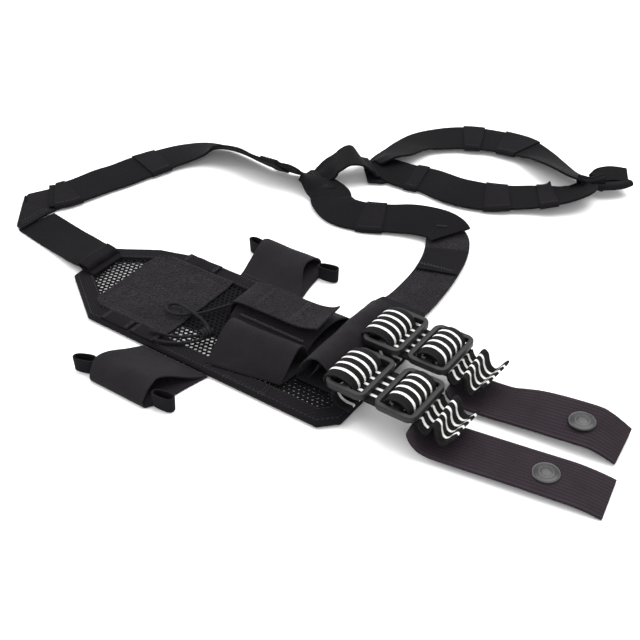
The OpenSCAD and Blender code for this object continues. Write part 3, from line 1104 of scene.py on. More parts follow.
@dataclass
class Panel:
    """The mesh-backed panel with its binding, tapes and loop patch."""

    length: float = 226.0
    width: float = 90.0
    end_width: float = 37.0
    taper: float = 42.0
    binding: float = 12.0
    pitch: float = 3.3
    hole: float = 1.16

    def outline(self, inset: float) -> list[tuple[float, float]]:
        """The panel's corners, drawn in from its edge.

        Args:
            inset: how far inside the edge, in millimetres.

        Returns:
            The corners, in order.
        """
        slope = (self.width - self.end_width) / 2 / self.taper
        drop = inset * math.sqrt(1 + slope * slope)
        x0, x1 = -self.length / 2 + inset, self.length / 2 - inset
        y0 = self.end_width / 2 + slope * inset - drop
        y1 = self.width / 2 - inset
        xt = -self.length / 2 + (y1 + drop - self.end_width / 2) / slope
        c = 10 - 0.4 * inset
        return [(x0 + 3.5, -y0), (xt, -y1), (x1 - c, -y1), (x1, c - y1), (x1, y1 - c), (x1 - c, y1),
                (xt + 32, y1), (xt + 8, y1 - 1.6), (xt - 12, y1 - 12 * slope), (x0, y0)]

    def build(self) -> None:
        """Builds every piece of the panel."""
        self._mesh()
        self._binding()
        self._tapes()
        self._patch()
        self._anchor()

    def _mesh(self) -> None:
        """Knits the open mesh: a six-sided cell round each hole."""
        corners = self.outline(self.binding - 2.5)
        vertices: list[Vector] = []
        faces: list[tuple[int, ...]] = []
        row_step = self.pitch * math.sqrt(3) / 2
        reach = self.pitch / math.sqrt(3)
        rows = int(self.width / row_step) + 1
        columns = int(self.length / self.pitch) + 2
        for j in range(-rows // 2, rows // 2 + 1):
            for i in range(-columns // 2, columns // 2 + 1):
                x = (i + 0.5 * (j % 2)) * self.pitch
                y = j * row_step
                if not inside(corners, x, y):
                    continue
                base = len(vertices)
                hole = self.hole * (0.62 if x > 60 else 0.8 if -18 < x < 20 and y > -14 else 1.0)
                sag = 0.25 * ripple(x, y, 1.0, 24)
                for rx, ry, z in ((reach, reach, 2.55), (1.15 * hole, 0.95 * hole, 2.75)):
                    for k in range(6):
                        turn = math.radians(60 * k + 30)
                        vertices.append(point(x + rx * math.cos(turn), y + ry * math.sin(turn), z + sag))
                for k in range(6):
                    m = (k + 1) % 6
                    faces.append((base + k, base + m, base + 6 + m, base + 6 + k))
        piece = Bench.from_faces("open_mesh", vertices, faces, 2e-5)
        Bench.map_flat(piece)
        Bench.apply(piece, "SOLIDIFY", thickness=0.5 * MM, offset=0.0)
        Bench.smooth(piece, 50)
        Bench.dress(piece, MESH_KNIT)
        place_piece(piece, ROOT, "mesh_panel")
        liner = [(-20, -16), (8, -14), (22, -10), (22, 34), (-20, 34)]
        place_piece(Bench.plate("mesh_liner", liner, 0.6, 1.2, POUCH, 0.2), ROOT)

    def _binding(self) -> None:
        """Wraps the edge in wide tape, sewn down by two rows of stitches."""
        section = [(self.binding, 3.3), (11.6, 4.0), (8.0, 4.15), (4.0, 4.2), (1.4, 4.0), (0.4, 3.3),
                   (0.0, 2.1), (0.4, 0.8), (1.6, 0.2), (6.0, 0.05), (11.6, 0.1), (self.binding, 0.8),
                   (self.binding, 3.3)]
        loops = [self.outline(d) for d, _ in section]
        sides, per_side = len(loops[0]), 24

        def spot(a: float, b: float) -> Vector:
            """A point of the folded tape.

            Args:
                a: the share round the panel.
                b: the share over the tape.

            Returns:
                The place, in metres.
            """
            k = round(b * (len(section) - 1))
            at = a * sides
            i = min(int(at), sides - 1)
            t = at - i
            corners = loops[k]
            p, q = corners[i % sides], corners[(i + 1) % sides]
            x, y = p[0] + (q[0] - p[0]) * t, p[1] + (q[1] - p[1]) * t
            z = section[k][1]
            if z > 3:
                z += 0.3 * ripple(x, y, 2.0, 9) - 0.25 * abs(ripple(x, y, 3.0, 5))
            return point(x, y, z)

        piece = Bench.grid("edge_tape", sides * per_side, len(section) - 1, spot, (0.58, 0.026))
        Bench.weld(piece, fix=True)
        Bench.smooth(piece, 50)
        Bench.dress(piece, BINDING)
        place_piece(piece, ROOT, "edge_binding")
        rows = []
        for inset in (2.6, 10.6):
            corners = self.outline(inset)
            rows.append([point(x, y, 4.22) for x, y in corners + corners[:1]])
        place_piece(Bench.stitches("edge_stitching", rows, BINDING_SEAM), ROOT)

    def _tapes(self) -> None:
        """Sews short tapes over the binding."""
        spots = (("tape_far", -61, 34, 27), ("tape_near_a", -62, -43, 22), ("tape_near_b", -38, -43, 20))
        pieces = []
        rows = []
        for name, x, y, long in spots:
            def spot(a: float, b: float, x: float = x, y: float = y, long: float = long) -> Vector:
                """A point of the tape.

                Args:
                    a: the share along.
                    b: the share across.
                    x: where the tape starts.
                    y: its near edge.
                    long: its length.

                Returns:
                    The place, in metres.
                """
                lift = 0.35 * ripple(x + long * a, y + 9 * b, 4.0, 6) + 0.3 * math.sin(math.pi * b)
                return point(x + long * a, y + 9 * b, 4.75 + lift)

            pieces.append(Bench.cloth(name, 18, 6, spot, (long * MM, 0.009), 0.8 * MM, KEEPER,
                                      round_edge=0.2 * MM))
            for off in (1.2, 2.4):
                for end in (x + off, x + long - off):
                    rows.append([point(end, y + 0.6, 5.4), point(end, y + 8.4, 5.4)])
        place_piece(Bench.join(pieces, "binding_tapes"), ROOT, "binding_tabs")
        place_piece(Bench.stitches("tape_bartacks", rows, TAPE_TACK), ROOT)

    def _patch(self) -> None:
        """Lays the soft loop patch on the mesh and sews it round."""
        x0, x1, half = -79.6, -17.2, 34.0

        def spot(a: float, b: float) -> Vector:
            """A point of the patch.

            Args:
                a: the share along.
                b: the share across.

            Returns:
                The place, in metres.
            """
            x = x0 + (x1 - x0) * a
            reach = min(half, half - max(0.0, (-71.0 - x)) * 0.62)
            y = (2 * b - 1) * reach
            z = 3.75 + 0.35 * ripple(x, y, 5.0, 16) + 0.12 * ripple(x, y, 6.0, 5)
            z -= 0.35 * math.exp(-((y + 7.5) / 0.7) ** 2)
            z += 1.1 * min(1.0, max(0.0, (abs(y) - 28.0) / 4.0))
            return point(x, y, z)

        piece = Bench.cloth("loop_cloth", 60, 60, spot, ((x1 - x0) * MM, 2 * half * MM), 0.8 * MM, BRUSHED,
                            round_edge=0.25 * MM)
        place_piece(piece, ROOT, "loop_patch")
        rows = [[point(x0 + 10, y, 5.3), point(x1 - 1.6, y, 5.3)] for y in (1.6 - half, half - 1.6)]
        rows.append([point(x1 - 1.6, y, 4.3) for y in (-27, 27)])
        rows.append([point(x0 + 6, -7.5, 3.9), point(x1 - 1, -7.5, 3.9)])
        place_piece(Bench.stitches("patch_stitching", rows, PATCH_SEAM), ROOT)

    def _anchor(self) -> None:
        """Rolls the shoulder strap's end where it is sewn to the panel."""
        def spot(a: float, b: float) -> Vector:
            """A point of the roll's skin.

            Args:
                a: the share along.
                b: the share round.

            Returns:
                The place, in metres.
            """
            y = -12.6 + 27.0 * a
            out, up = stadium(8.6, 3.4, b)
            pinch = 1 + 0.14 * ripple(y, 3 * b, 8.0, 6)
            x = -106.0 + out * pinch
            z = 8.2 + up * pinch - 0.16 * out + 0.5 * ripple(y, 0, 9.0, 9)
            return point(x, y, z)

        piece = Bench.cloth("rolled_end", 30, 36, spot, (0.030, 0.026), 1.1 * MM, KEEPER, closed=True,
                            round_edge=0.25 * MM)
        place_piece(piece, ROOT, "strap_anchor")
        flap = Course(((-108, 1, 5.0), (-104, 1, 5.6), (-100, 1, 5.0), (-97, 1, 4.9)), (0, 1, 0))
        strip = ribbon("anchor_flap", flap, width=27.0, finish=KEEPER, wave=0.3, seed=3)
        place_piece(strip, ROOT)


def inside(corners: Sequence[Row], x: float, y: float) -> bool:
    """Whether a point lies in an outline.

    Args:
        corners: the outline.
        x: the point's first coordinate.
        y: the point's second coordinate.

    Returns:
        True if it does.
    """
    odd = False
    for p, q in zip(corners, list(corners[1:]) + [corners[0]]):
        if (p[1] > y) != (q[1] > y) and x < (q[0] - p[0]) * (y - p[1]) / (q[1] - p[1]) + p[0]:
            odd = not odd
    return odd


# ---- webbing ----

def ribbon(name: str, course: Course, s0: float = 0.0, s1: float | None = None, width: float = WEB_W,
           thick: float = WEB_T, finish: Finish = WEBBING, wave: float = 0.25, seed: float = 1.0,
           per_mm: float = 0.5, ribs: float = 0.0,
           taper: tuple[float, float] = (1.0, 1.0)) -> bpy.types.Object:
    """A length of flat webbing laid along a course.

    Args:
        name: what the piece is called.
        course: the line that it follows.
        s0: the row where it starts.
        s1: the row where it ends.
        width: in millimetres.
        thick: in millimetres.
        finish: its finish.
        wave: how uneven it lies, in millimetres.
        seed: which unevenness.
        per_mm: divisions to the millimetre.
        ribs: the height of lengthwise ribs, in millimetres.
        taper: the share of the width left where the two ends are gathered.

    Returns:
        The finished strap.
    """
    stop = float(course.last) if s1 is None else s1
    long = course.length(s0, stop)
    nu = max(8, int(long / MM * per_mm))
    nv = 56 if ribs else 10
    gathered = 0.030 if long > 0.07 else 0.4 * long

    def spot(a: float, b: float) -> Vector:
        """A point of the strap.

        Args:
            a: the share along.
            b: the share across.

        Returns:
            The place, in metres.
        """
        s = s0 + (stop - s0) * a
        p, across, up = course.axes(s)
        first = max(0.0, 1 - a * long / gathered) ** 2
        second = max(0.0, 1 - (1 - a) * long / gathered) ** 2
        gather = 1 - (1 - taper[0]) * first - (1 - taper[1]) * second
        off = (b - 0.5) * width * gather
        edge = abs(2 * b - 1) ** 3
        rise = wave * ripple(a * long / MM, off * 0.7, seed, 14) - 0.12 * edge
        rise += ribs * abs(math.sin(math.pi * (b - 0.5) * width / 2.3))
        rise += 3.0 * (1 - gather) * math.cos(3 * math.pi * (b - 0.5))
        sway = 0.25 * wave * ripple(a * long / MM, 5.0, seed + 4, 18)
        return (p + across * (off + sway) + up * rise) * MM

    return Bench.cloth(name, nu, nv, spot, (long, width * MM), thick * MM, finish,
                       round_edge=0.0 if ribs else 0.28 * thick * MM)


def sleeve(name: str, course: Course, s0: float, s1: float, width: float = 31.8, depth: float = 4.0,
           flare: float = 0.0) -> bpy.types.Object:
    """A keeper: a flat sleeve of webbing round a strap.

    Args:
        name: what the piece is called.
        course: the strap's line.
        s0: the row where it starts.
        s1: the row where it ends.
        width: of the sleeve, in millimetres.
        depth: of the sleeve, in millimetres.
        flare: how far its last corner lifts, in millimetres.

    Returns:
        The finished sleeve.
    """
    long = course.length(s0, s1)

    def spot(a: float, b: float) -> Vector:
        """A point of the sleeve's wall.

        Args:
            a: the share along.
            b: the share round.

        Returns:
            The place, in metres.
        """
        p, across, up = course.axes(s0 + (s1 - s0) * a)
        x, z = stadium(width, depth - 1.0, b)
        z += 0.15 * ripple(x, a * 20, s0, 9) - 0.1 * (2 * x / width) ** 2
        if flare and x > 0:
            z += flare * a ** 3 * (2 * x / width) ** 2
        return (p + across * x + up * z) * MM

    nu = max(10, int(long / MM * 0.9))
    return Bench.cloth(name, nu, 64, spot, (long, 2.1 * width * MM), 0.9 * MM, KEEPER, closed=True,
                       round_edge=0.22 * MM)


def sleeve_rows(course: Course, s0: float, s1: float, height: float = 2.1) -> list[list[Vector]]:
    """The two rows of stitches along a sleeve's sides.

    Args:
        course: the strap's line.
        s0: the row where the sleeve starts.
        s1: the row where it ends.
        height: above the course, in millimetres.

    Returns:
        The rows of points.
    """
    return [course.points(s0 + 0.06, s1 - 0.06, 12, height, off) for off in (-12.6, 12.6)]


@dataclass
class ArmLoop:
    """The first loop: the strap from the panel's narrow end round to its belt end."""

    rear: Course = Course((
        (-101, 4, 6.4, 0), (-116, 4, 5.2, 0), (-134, 8, 3, 0), (-156, 12, 1.4, 0), (-181, 16, 1.2, 0)))
    end: Course = Course((
        (63, 166, 1.2, 0), (72, 154, 1.2, 0), (79, 140, 2, 4), (84, 121, 2.4, 6), (86, 100, 2.2, 4),
        (86, 80, 3, 0), (86, 66, 6.6, 0), (86, 55, 7.6, 0)))
    arm: Course = Course((
        (-196, 43, 3.4, 0), (-190, 49.5, 3.5, 2), (-185, 62.5, 3.4, 2), (-180, 80.5, 3.6, 4),
        (-175, 94.5, 3.6, 4), (-169.5, 114, 3.8, 3), (-163, 132.5, 3.8, 0), (-155, 147.5, 4.8, -4),
        (-146, 157.5, 6.2, -10), (-135, 163.5, 8, -22), (-122, 164.5, 10.4, -34),
        (-106, 163.5, 11.8, -42), (-90, 161.5, 12, -41), (-75, 163.2, 11.8, -40),
        (-62.5, 166, 10.8, -40), (-54, 168, 7.8, -26), (-44, 167.5, 5.4, -8), (-36, 165, 4.2, -2),
        (-29, 161, 4, 0), (-22, 153.5, 4, 3), (-9, 147.5, 4, 8), (7, 150, 4, 8), (22, 157, 4.4, 7),
        (38, 163, 6.4, 10), (53, 166, 7.4, 10), (64, 165, 7.6, 8), (71.5, 160.5, 6.8, 5)))
    turn: Course = Course((
        (58, 167, 3.6, 3), (66.5, 162.5, 3.8, 4), (73.6, 152.5, 3.2, 4), (78.8, 139, 2.6, 4),
        (82.8, 121, 2.4, 6), (85.2, 100, 2.2, 4), (86, 80, 3, 0), (86, 66, 6.6, 0), (86, 55, 7.6, 0)))
    cover: Course = Course((
        (76.4, 146.4, 4.8, 3), (80, 136.8, 4.4, 4), (82.2, 127, 4.3, 5), (83.4, 120, 4.3, 6)))

    def build(self) -> None:
        """Lays the straps, the folds and the keepers."""
        place_piece(ribbon("strap_rear", self.rear, seed=1, taper=(0.84, 1.0)), ROOT, "rear_strap")
        self._fold()
        place_piece(ribbon("strap_arm", self.arm, seed=2, wave=0.35), ROOT,
                    "arm_strap_rear", "arm_strap_far", "arm_strap_front")
        place_piece(ribbon("strap_end", self.turn, seed=5, finish=BRUSHED, wave=0.5, taper=(0.75, 1.0)),
                    ROOT, "arm_strap_end")
        place_piece(ribbon("strap_end_cover", self.cover, seed=6, width=29.0, thick=1.1, finish=KEEPER), ROOT)
        self._crossing()
        spans = ((0.5, 1.7), (5.0, 5.9), (12.3, 13.1), (20.9, 21.9))
        pieces = [sleeve(f"keeper_{i}", self.arm, a, b) for i, (a, b) in enumerate(spans)]
        place_piece(Bench.join(pieces, "arm_loop_keepers"), ROOT, "arm_keepers")
        place_piece(sleeve("belt_end_sleeve", self.end, 5.35, 6.6), ROOT, "end_sleeve")
        rows = [row for a, b in spans for row in sleeve_rows(self.arm, a, b)]
        place_piece(Bench.stitches("keeper_stitching", rows, STRAP_SEAM), ROOT)

    def _fold(self) -> None:
        """Turns the strap through a flat diagonal fold."""
        under = [(-183, 2.4), (-187.5, 3.6), (-211.4, 32.6), (-213.4, 38.4), (-205.4, 53), (-178, 47.4),
                 (-181.4, 31)]
        over = [(-180, 1.2), (-186.6, 3.0), (-205.6, 26), (-184, 30.6), (-180, 30.8)]
        # Painted shade: the under layer keeps the strap's darker webbing and the top layer gets the lighter
        # keeper finish, so the fold's inner side looks shaded.
        low = Bench.plate("fold_under", under, 0.5, 2.1, WEBBING, 0.5)
        top = Bench.plate("fold_over", over, 2.3, 3.8, KEEPER, 0.5)
        line = Course(((-187, 3.4, 2.2), (-195.2, 13.4, 2.2), (-203.4, 23.4, 2.2), (-211.6, 33.4, 2.0)))

        def spot(a: float, b: float) -> Vector:
            """A point of the folded edge.

            Args:
                a: the share along.
                b: the share round.

            Returns:
                The place, in metres.
            """
            p, across, up = line.axes(a * line.last)
            turn = math.pi * (b - 0.5)
            return (p + across * (math.cos(turn) * 1.1 - 1.2) + up * math.sin(turn) * 1.15) * MM

        edge = Bench.cloth("fold_edge", 40, 8, spot, (0.039, 0.004), 0.9 * MM, WEBBING)
        place_piece(Bench.join([low, top, edge], "corner_fold"), ROOT, "rear_fold")
        ends = ((-186, 7, 29), (-183.4, 5, 29.6))
        rows = [[point(x, y0, 3.95), point(x, y1, 3.95)] for x, y0, y1 in ends]
        place_piece(Bench.stitches("fold_stitching", rows, STRAP_SEAM), ROOT)

    def _crossing(self) -> None:
        """Overlaps the strap's two runs and the link, sewn through."""
        outline = [(-60.6, 165), (-60.8, 181), (-57, 183.4), (-42.6, 173.6), (-30, 170.6), (-41.5, 157.4)]
        place_piece(Bench.plate("crossing_patch", outline, 3.2, 5.3, KEEPER, 0.6), ROOT, "arm_crossing")
        turns = 22
        zigzag = [point(69.8 + 25.0 * k / turns, 120.4 + 4.2 * k / turns + 1.5 * (k % 2), 5.6)
                  for k in range(turns + 1)]
        place_piece(Bench.stitches("end_zigzag", [zigzag], ZIGZAG), ROOT)
        tack = [point(59.0, 162.2, 9.2), point(65.6, 165.2, 9.2)]
        place_piece(Bench.stitches("front_bartack", [tack], FRONT_TACK), ROOT)
        corners = [(-57.6, 167), (-57.6, 178), (-44, 170.6), (-37, 168), (-43.6, 160.6), (-57.6, 167)]
        box = [point(x, y, 5.35) for x, y in corners]
        place_piece(Bench.stitches("crossing_box", [box], BOX_SEAM), ROOT)


@dataclass
class ShoulderLoop:
    """The link and the second loop, which folds over on the link."""

    arch: Course = Course((
        (-52, 179.5, 3.4, 0), (-49.5, 183.5, 5.2, 0), (-45.8, 188.5, 9.4, 0), (-41.5, 192.2, 14.4, 0),
        (-37.6, 195.4, 17.6, 0), (-34, 198.4, 18.2, 0), (-31, 201.6, 16.2, 0), (-28.6, 204.8, 11.4, 0),
        (-26.6, 208, 6.6, 0), (-23.6, 212, 4.4, 0)))
    far: Course = Course((
        (-27, 218, 4.8, -24), (-24, 230, 6.2, -22), (-20, 243, 5.6, -14), (-18.6, 256.4, 4.8, -9),
        (-14, 269.6, 4.6, -2), (-1.6, 282.6, 5, 4), (15, 293.4, 5.6, 5), (35, 300.6, 5.6, 3),
        (54, 302.6, 5.6, 1), (69, 298, 6.2, -8), (83, 290, 8.4, -18), (98, 281.5, 10.4, -26),
        (111, 277, 10.6, -26), (121, 277, 10.4, -24)))
    near: Course = Course((
        (-27, 219, 4.4, 0), (-12, 217, 4.0, 2), (4, 217, 3.8, 4), (20, 220, 3.8, 5), (43, 217, 4.8, 8),
        (63, 221, 5, 8), (80, 231, 4.8, 2), (95, 240, 6.0, 0), (107, 247.5, 7.6, -6),
        (115.6, 255.5, 8.8, -14), (120, 264, 9.6, -18), (120.6, 272.5, 10, -20)))
    flap: Course = Course((
        (120, 283, 10.2, 4), (125.5, 289, 11.2, 6), (131.5, 294.6, 11.6, 8), (141, 300, 10.4, 8)))
    loop: Course = Course((
        (125.5, 279, 8.2, -8), (133, 283, 8.0, -10), (139, 289, 7.8, -12), (142.6, 296, 7.8, -14)))
    tip: Vector = Vector((122.6, 276.6, 9.0))
    body: str = "shoulder_loop"

    def build(self) -> None:
        """Lays the link, both runs, their crossings, keepers and tails."""
        link = ribbon("link_webbing", self.arch, seed=7, wave=0.1, per_mm=1.4, taper=(0.6, 1.0))
        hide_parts("link_root", "link_strap")
        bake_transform(link)
        log.info("link_webbing bends over the fold")
        self._place(ribbon("loop_far_run", self.far, seed=8, taper=(0.6, 0.62)), "shoulder_strap_far")
        self._place(ribbon("loop_near_run", self.near, seed=9, taper=(0.9, 0.55)), "shoulder_strap_near")
        pad = [(-34, 212.6), (-29, 223), (-13, 215.6), (-5.6, 203.6), (-9, 199), (-18, 194.4)]
        self._place(Bench.plate("split_pad", pad, 1.2, 3.0, KEEPER, 0.5), "shoulder_crossing")
        self._place(self._gather(), "tip_crossing")
        self._place(ribbon("tail_end", self.flap, seed=14, width=16.5, taper=(0.45, 1.0)), "tail_flap")
        self._place(sleeve("tail_turn", self.loop, 0.0, 3.0, 13.5, 4.8), "tail_loop")
        spans = ((self.far, 5.7, 6.4, 0.0), (self.far, 7.1, 8.3, 0.0), (self.near, 2.1, 2.7, 0.0),
                 (self.near, 5.1, 6.0, 0.0), (self.near, 7.2, 8.05, 3.6))
        pieces = [sleeve(f"loop_keeper_{i}", c, a, b, flare=f) for i, (c, a, b, f) in enumerate(spans)]
        self._place(Bench.join(pieces, "second_loop_keepers"), "shoulder_keepers")
        rows = [row for c, a, b, _ in spans for row in sleeve_rows(c, a, b)]
        self._place(Bench.stitches("second_loop_stitching", rows, STRAP_SEAM))

    def _gather(self) -> bpy.types.Object:
        """Gathers both runs at the loop's tip into a tightly sewn bundle.

        Returns:
            The bundle.
        """
        lean = math.radians(38)

        def spot(a: float, b: float) -> Vector:
            """A point of the bundle's skin.

            Args:
                a: the share along.
                b: the share round.

            Returns:
                The place, in metres.
            """
            turn = 2 * math.pi * b
            fat = 0.62 + 0.38 * abs(2 * a - 1) ** 1.4
            pleat = 1 + 0.16 * math.cos(5 * turn + 2 * a)
            x = -9.0 + 18.0 * a
            y = 6.2 * fat * pleat * math.cos(turn)
            z = 5.6 * fat * pleat * math.sin(turn)
            along = x * math.cos(lean) - y * math.sin(lean)
            aside = x * math.sin(lean) + y * math.cos(lean)
            return (self.tip + Vector((along, aside, z))) * MM

        return Bench.cloth("tip_bundle", 30, 60, spot, (0.018, 0.036), 1.2 * MM, WEBBING, closed=True)

    def _place(self, piece: bpy.types.Object, *nodes: str) -> None:
        """Rides a piece on the folding loop."""
        place_piece(piece, self.body, *nodes)


# ---- pouches ----

@dataclass
class Pouches:
    """The two tube pouches, the pouch across the belt end, and the retention strip."""

    cloth_t: float = 1.0

    def build(self) -> None:
        """Sews the pouches and the strip."""
        near = self._tube("near_tube_cloth", x0=20, x1=70, y0=-40, w=35, h=18, lean=1.9, seed=21, recede=2.0,
                          narrow=9.0)
        place_piece(near, ROOT, "near_tube")
        far = self._tube("far_tube_cloth", x0=8, x1=69, y0=-4, w=46, h=13, lean=1.0, seed=22, recede=3.0,
                         narrow=0.0)
        place_piece(far, ROOT, "far_tube")
        place_piece(self._end_pouch(), ROOT, "end_pouch")
        self._inner_fold()
        self._seams()
        self._strip()

    def _tube(self, name: str, x0: float, x1: float, y0: float, w: float, h: float, lean: float,
              seed: float, recede: float, narrow: float) -> bpy.types.Object:
        """A fabric tube along X, puffed above and flat below.

        Args:
            name: what the piece is called.
            x0: where it starts.
            x1: where it ends.
            y0: its near edge.
            w: its width.
            h: its height.
            lean: how far its crest leans to the far side.
            seed: which unevenness.
            recede: how far the mouth's near corner is cut back.
            narrow: how far the near edge runs in towards the mouth.

        Returns:
            The finished tube.
        """
        inset = self.cloth_t / 2
        top = 0.64

        def spot(a: float, b: float) -> Vector:
            """A point of the tube's wall.

            Args:
                a: the share along.
                b: the share round.

            Returns:
                The place, in metres.
            """
            share = b / top if b < top else (1 - b) / (1 - top)
            if b < top:
                along, up = soft_hump(w - 2 * inset, h - 2 * inset, lean, share)
            else:
                along, up = (w - 2 * inset) * share, 0.0
            far = 1 - share
            end = x1 - recede * far ** 2
            x = x0 + (end - x0) * a
            puff = 0.55 * ripple(x, along, seed, 15) + 0.25 * ripple(x, along, seed + 3, 6)
            slump = -0.7 * math.sin(math.pi * a) * (up / h)
            y = y0 + inset + along + narrow * a * far
            y += 0.5 * ripple(x, along + 40, seed, 18) if up > 2 else 0.0
            z = DECK_Z + inset + up + (puff + slump if up > 1.5 else 0.0)
            return point(x, y, z)

        return Bench.cloth(name, 56, 76, spot, ((x1 - x0) * MM, 2.2 * w * MM), self.cloth_t * MM, POUCH,
                           closed=True, round_edge=0.2 * MM)

    def _end_pouch(self) -> bpy.types.Object:
        """The pouch across the belt end, a tube along Y.

        Returns:
            The finished pouch.
        """
        x0, w, h, y0, y1 = 71.0, 29.0, 21.0, -20.0, 52.0
        inset = self.cloth_t / 2

        def spot(a: float, b: float) -> Vector:
            """A point of the pouch's wall.

            Args:
                a: the share along.
                b: the share round.

            Returns:
                The place, in metres.
            """
            if b < 0.66:
                along, up = soft_hump(w - 2 * inset, h - 2 * inset, 1.0, b / 0.66)
            else:
                along, up = (w - 2 * inset) * (1 - b) / 0.34, 0.0
            y = y0 + (y1 - y0) * a
            crumple = 0.8 * ripple(y, along, 31.0, 17) + 0.3 * ripple(y, along, 32.0, 6)
            sink = 2.6 * max(0.0, a - 0.72) / 0.28
            z = DECK_Z + inset + up * (1 - 0.04 * sink) + (crumple - 0.4 if up > 2 else 0.0)
            x = x0 + inset + along + (0.5 * ripple(y, along, 33.0, 14) if up > 2 else 0.0)
            return point(x, y, z)

        return Bench.cloth("end_pouch_cloth", 70, 64, spot, (0.072, 0.075), self.cloth_t * MM, POUCH,
                           closed=True, round_edge=0.2 * MM)

    def _inner_fold(self) -> None:
        """The pouch's inner flap, folded back in its mouth."""
        def spot(a: float, b: float) -> Vector:
            """A point of the flap.

            Args:
                a: the share along.
                b: the share across.

            Returns:
                The place, in metres.
            """
            x = 78.2 + 6.6 * b + 1.4 * math.sin(math.pi * b) * (1 - a)
            z = 6.2 + 12.6 * b ** 0.8
            return point(x, -17.4 + 34 * a, z)

        piece = Bench.cloth("mouth_fold", 26, 18, spot, (0.034, 0.017), 0.8 * MM, BRUSHED,
                            round_edge=0.2 * MM)
        place_piece(piece, ROOT, "end_pouch_flap")

    def _seams(self) -> None:
        """The rows of stitches that hold the pouches down."""
        rows = []
        for y in (-41.4, -42.8):
            rows.append([point(20, y, 4.4), point(66, y, 4.4)])
        rows.append([point(x, -8.6 + 0.9 * (x % 2), 22.3) for x in range(22, 69)])
        for x in (22, 23.6):
            rows.append([point(x, -39, 4.9), point(x, -41, 4.5)])
        for x in (36, 38.2, 62, 64.2):
            rows.append([point(x, -44.4, 4.4), point(x, -34.8, 4.4)])
        place_piece(Bench.stitches("pouch_seams", rows, POUCH_SEAM), ROOT)

        def tooth(a: float, b: float) -> Vector:
            """A point of the zigzag lip.

            Args:
                a: the share along.
                b: the share across.

            Returns:
                The place, in metres.
            """
            x = 21.5 + 46.5 * a
            saw = abs(((a * 26) % 1.0) - 0.5) * 2
            y = -9.4 + b * (3.2 + 1.1 * saw)
            return point(x, y, 21.5 - 1.5 * b * b + 0.2 * ripple(x, 0, 41.0, 7))

        lip = Bench.cloth("tube_fold_lip", 156, 4, tooth, (0.047, 0.004), 0.7 * MM, KEEPER)
        place_piece(lip, ROOT)

    def _strip(self) -> None:
        """The brushed retention strip, curled at its free end."""
        rows = ((1, 4.9), (3.4, 8.4), (4.6, 13.6), (7.6, 17.8), (14.5, 19.2), (30, 19.4), (50, 19.7),
                (58, 20.6), (64, 22.2), (69.5, 24.8))
        course = local_course((0, 16), 0.0, rows)
        long = course.length(0, course.last)

        def spot(a: float, b: float) -> Vector:
            """A point of the strip.

            Args:
                a: the share along.
                b: the share across.

            Returns:
                The place, in metres.
            """
            p, across, up = course.axes(a * course.last)
            off = (b - 0.5) * 25.0
            curl = max(0.0, a - 0.86) / 0.14
            rise = 0.3 * ripple(a * 70, off, 44.0, 12) + curl ** 2 * (1.6 * b - 0.6)
            return (p + across * off + up * rise) * MM

        piece = Bench.cloth("retention_cloth", 90, 28, spot, (long, 0.025), 1.1 * MM, BRUSHED,
                            round_edge=0.3 * MM)
        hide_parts("strip_root", "retention_strip")
        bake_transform(piece)
        log.info("retention_cloth bends at its fold")
        tacks = [[point(x, y, 20.15) for y in (5.6, 26.4)] for x in (21.5, 23, 47.5, 49)]
        place_piece(Bench.stitches("strip_bartacks", tacks, STRIP_TACK), "retention_strip")


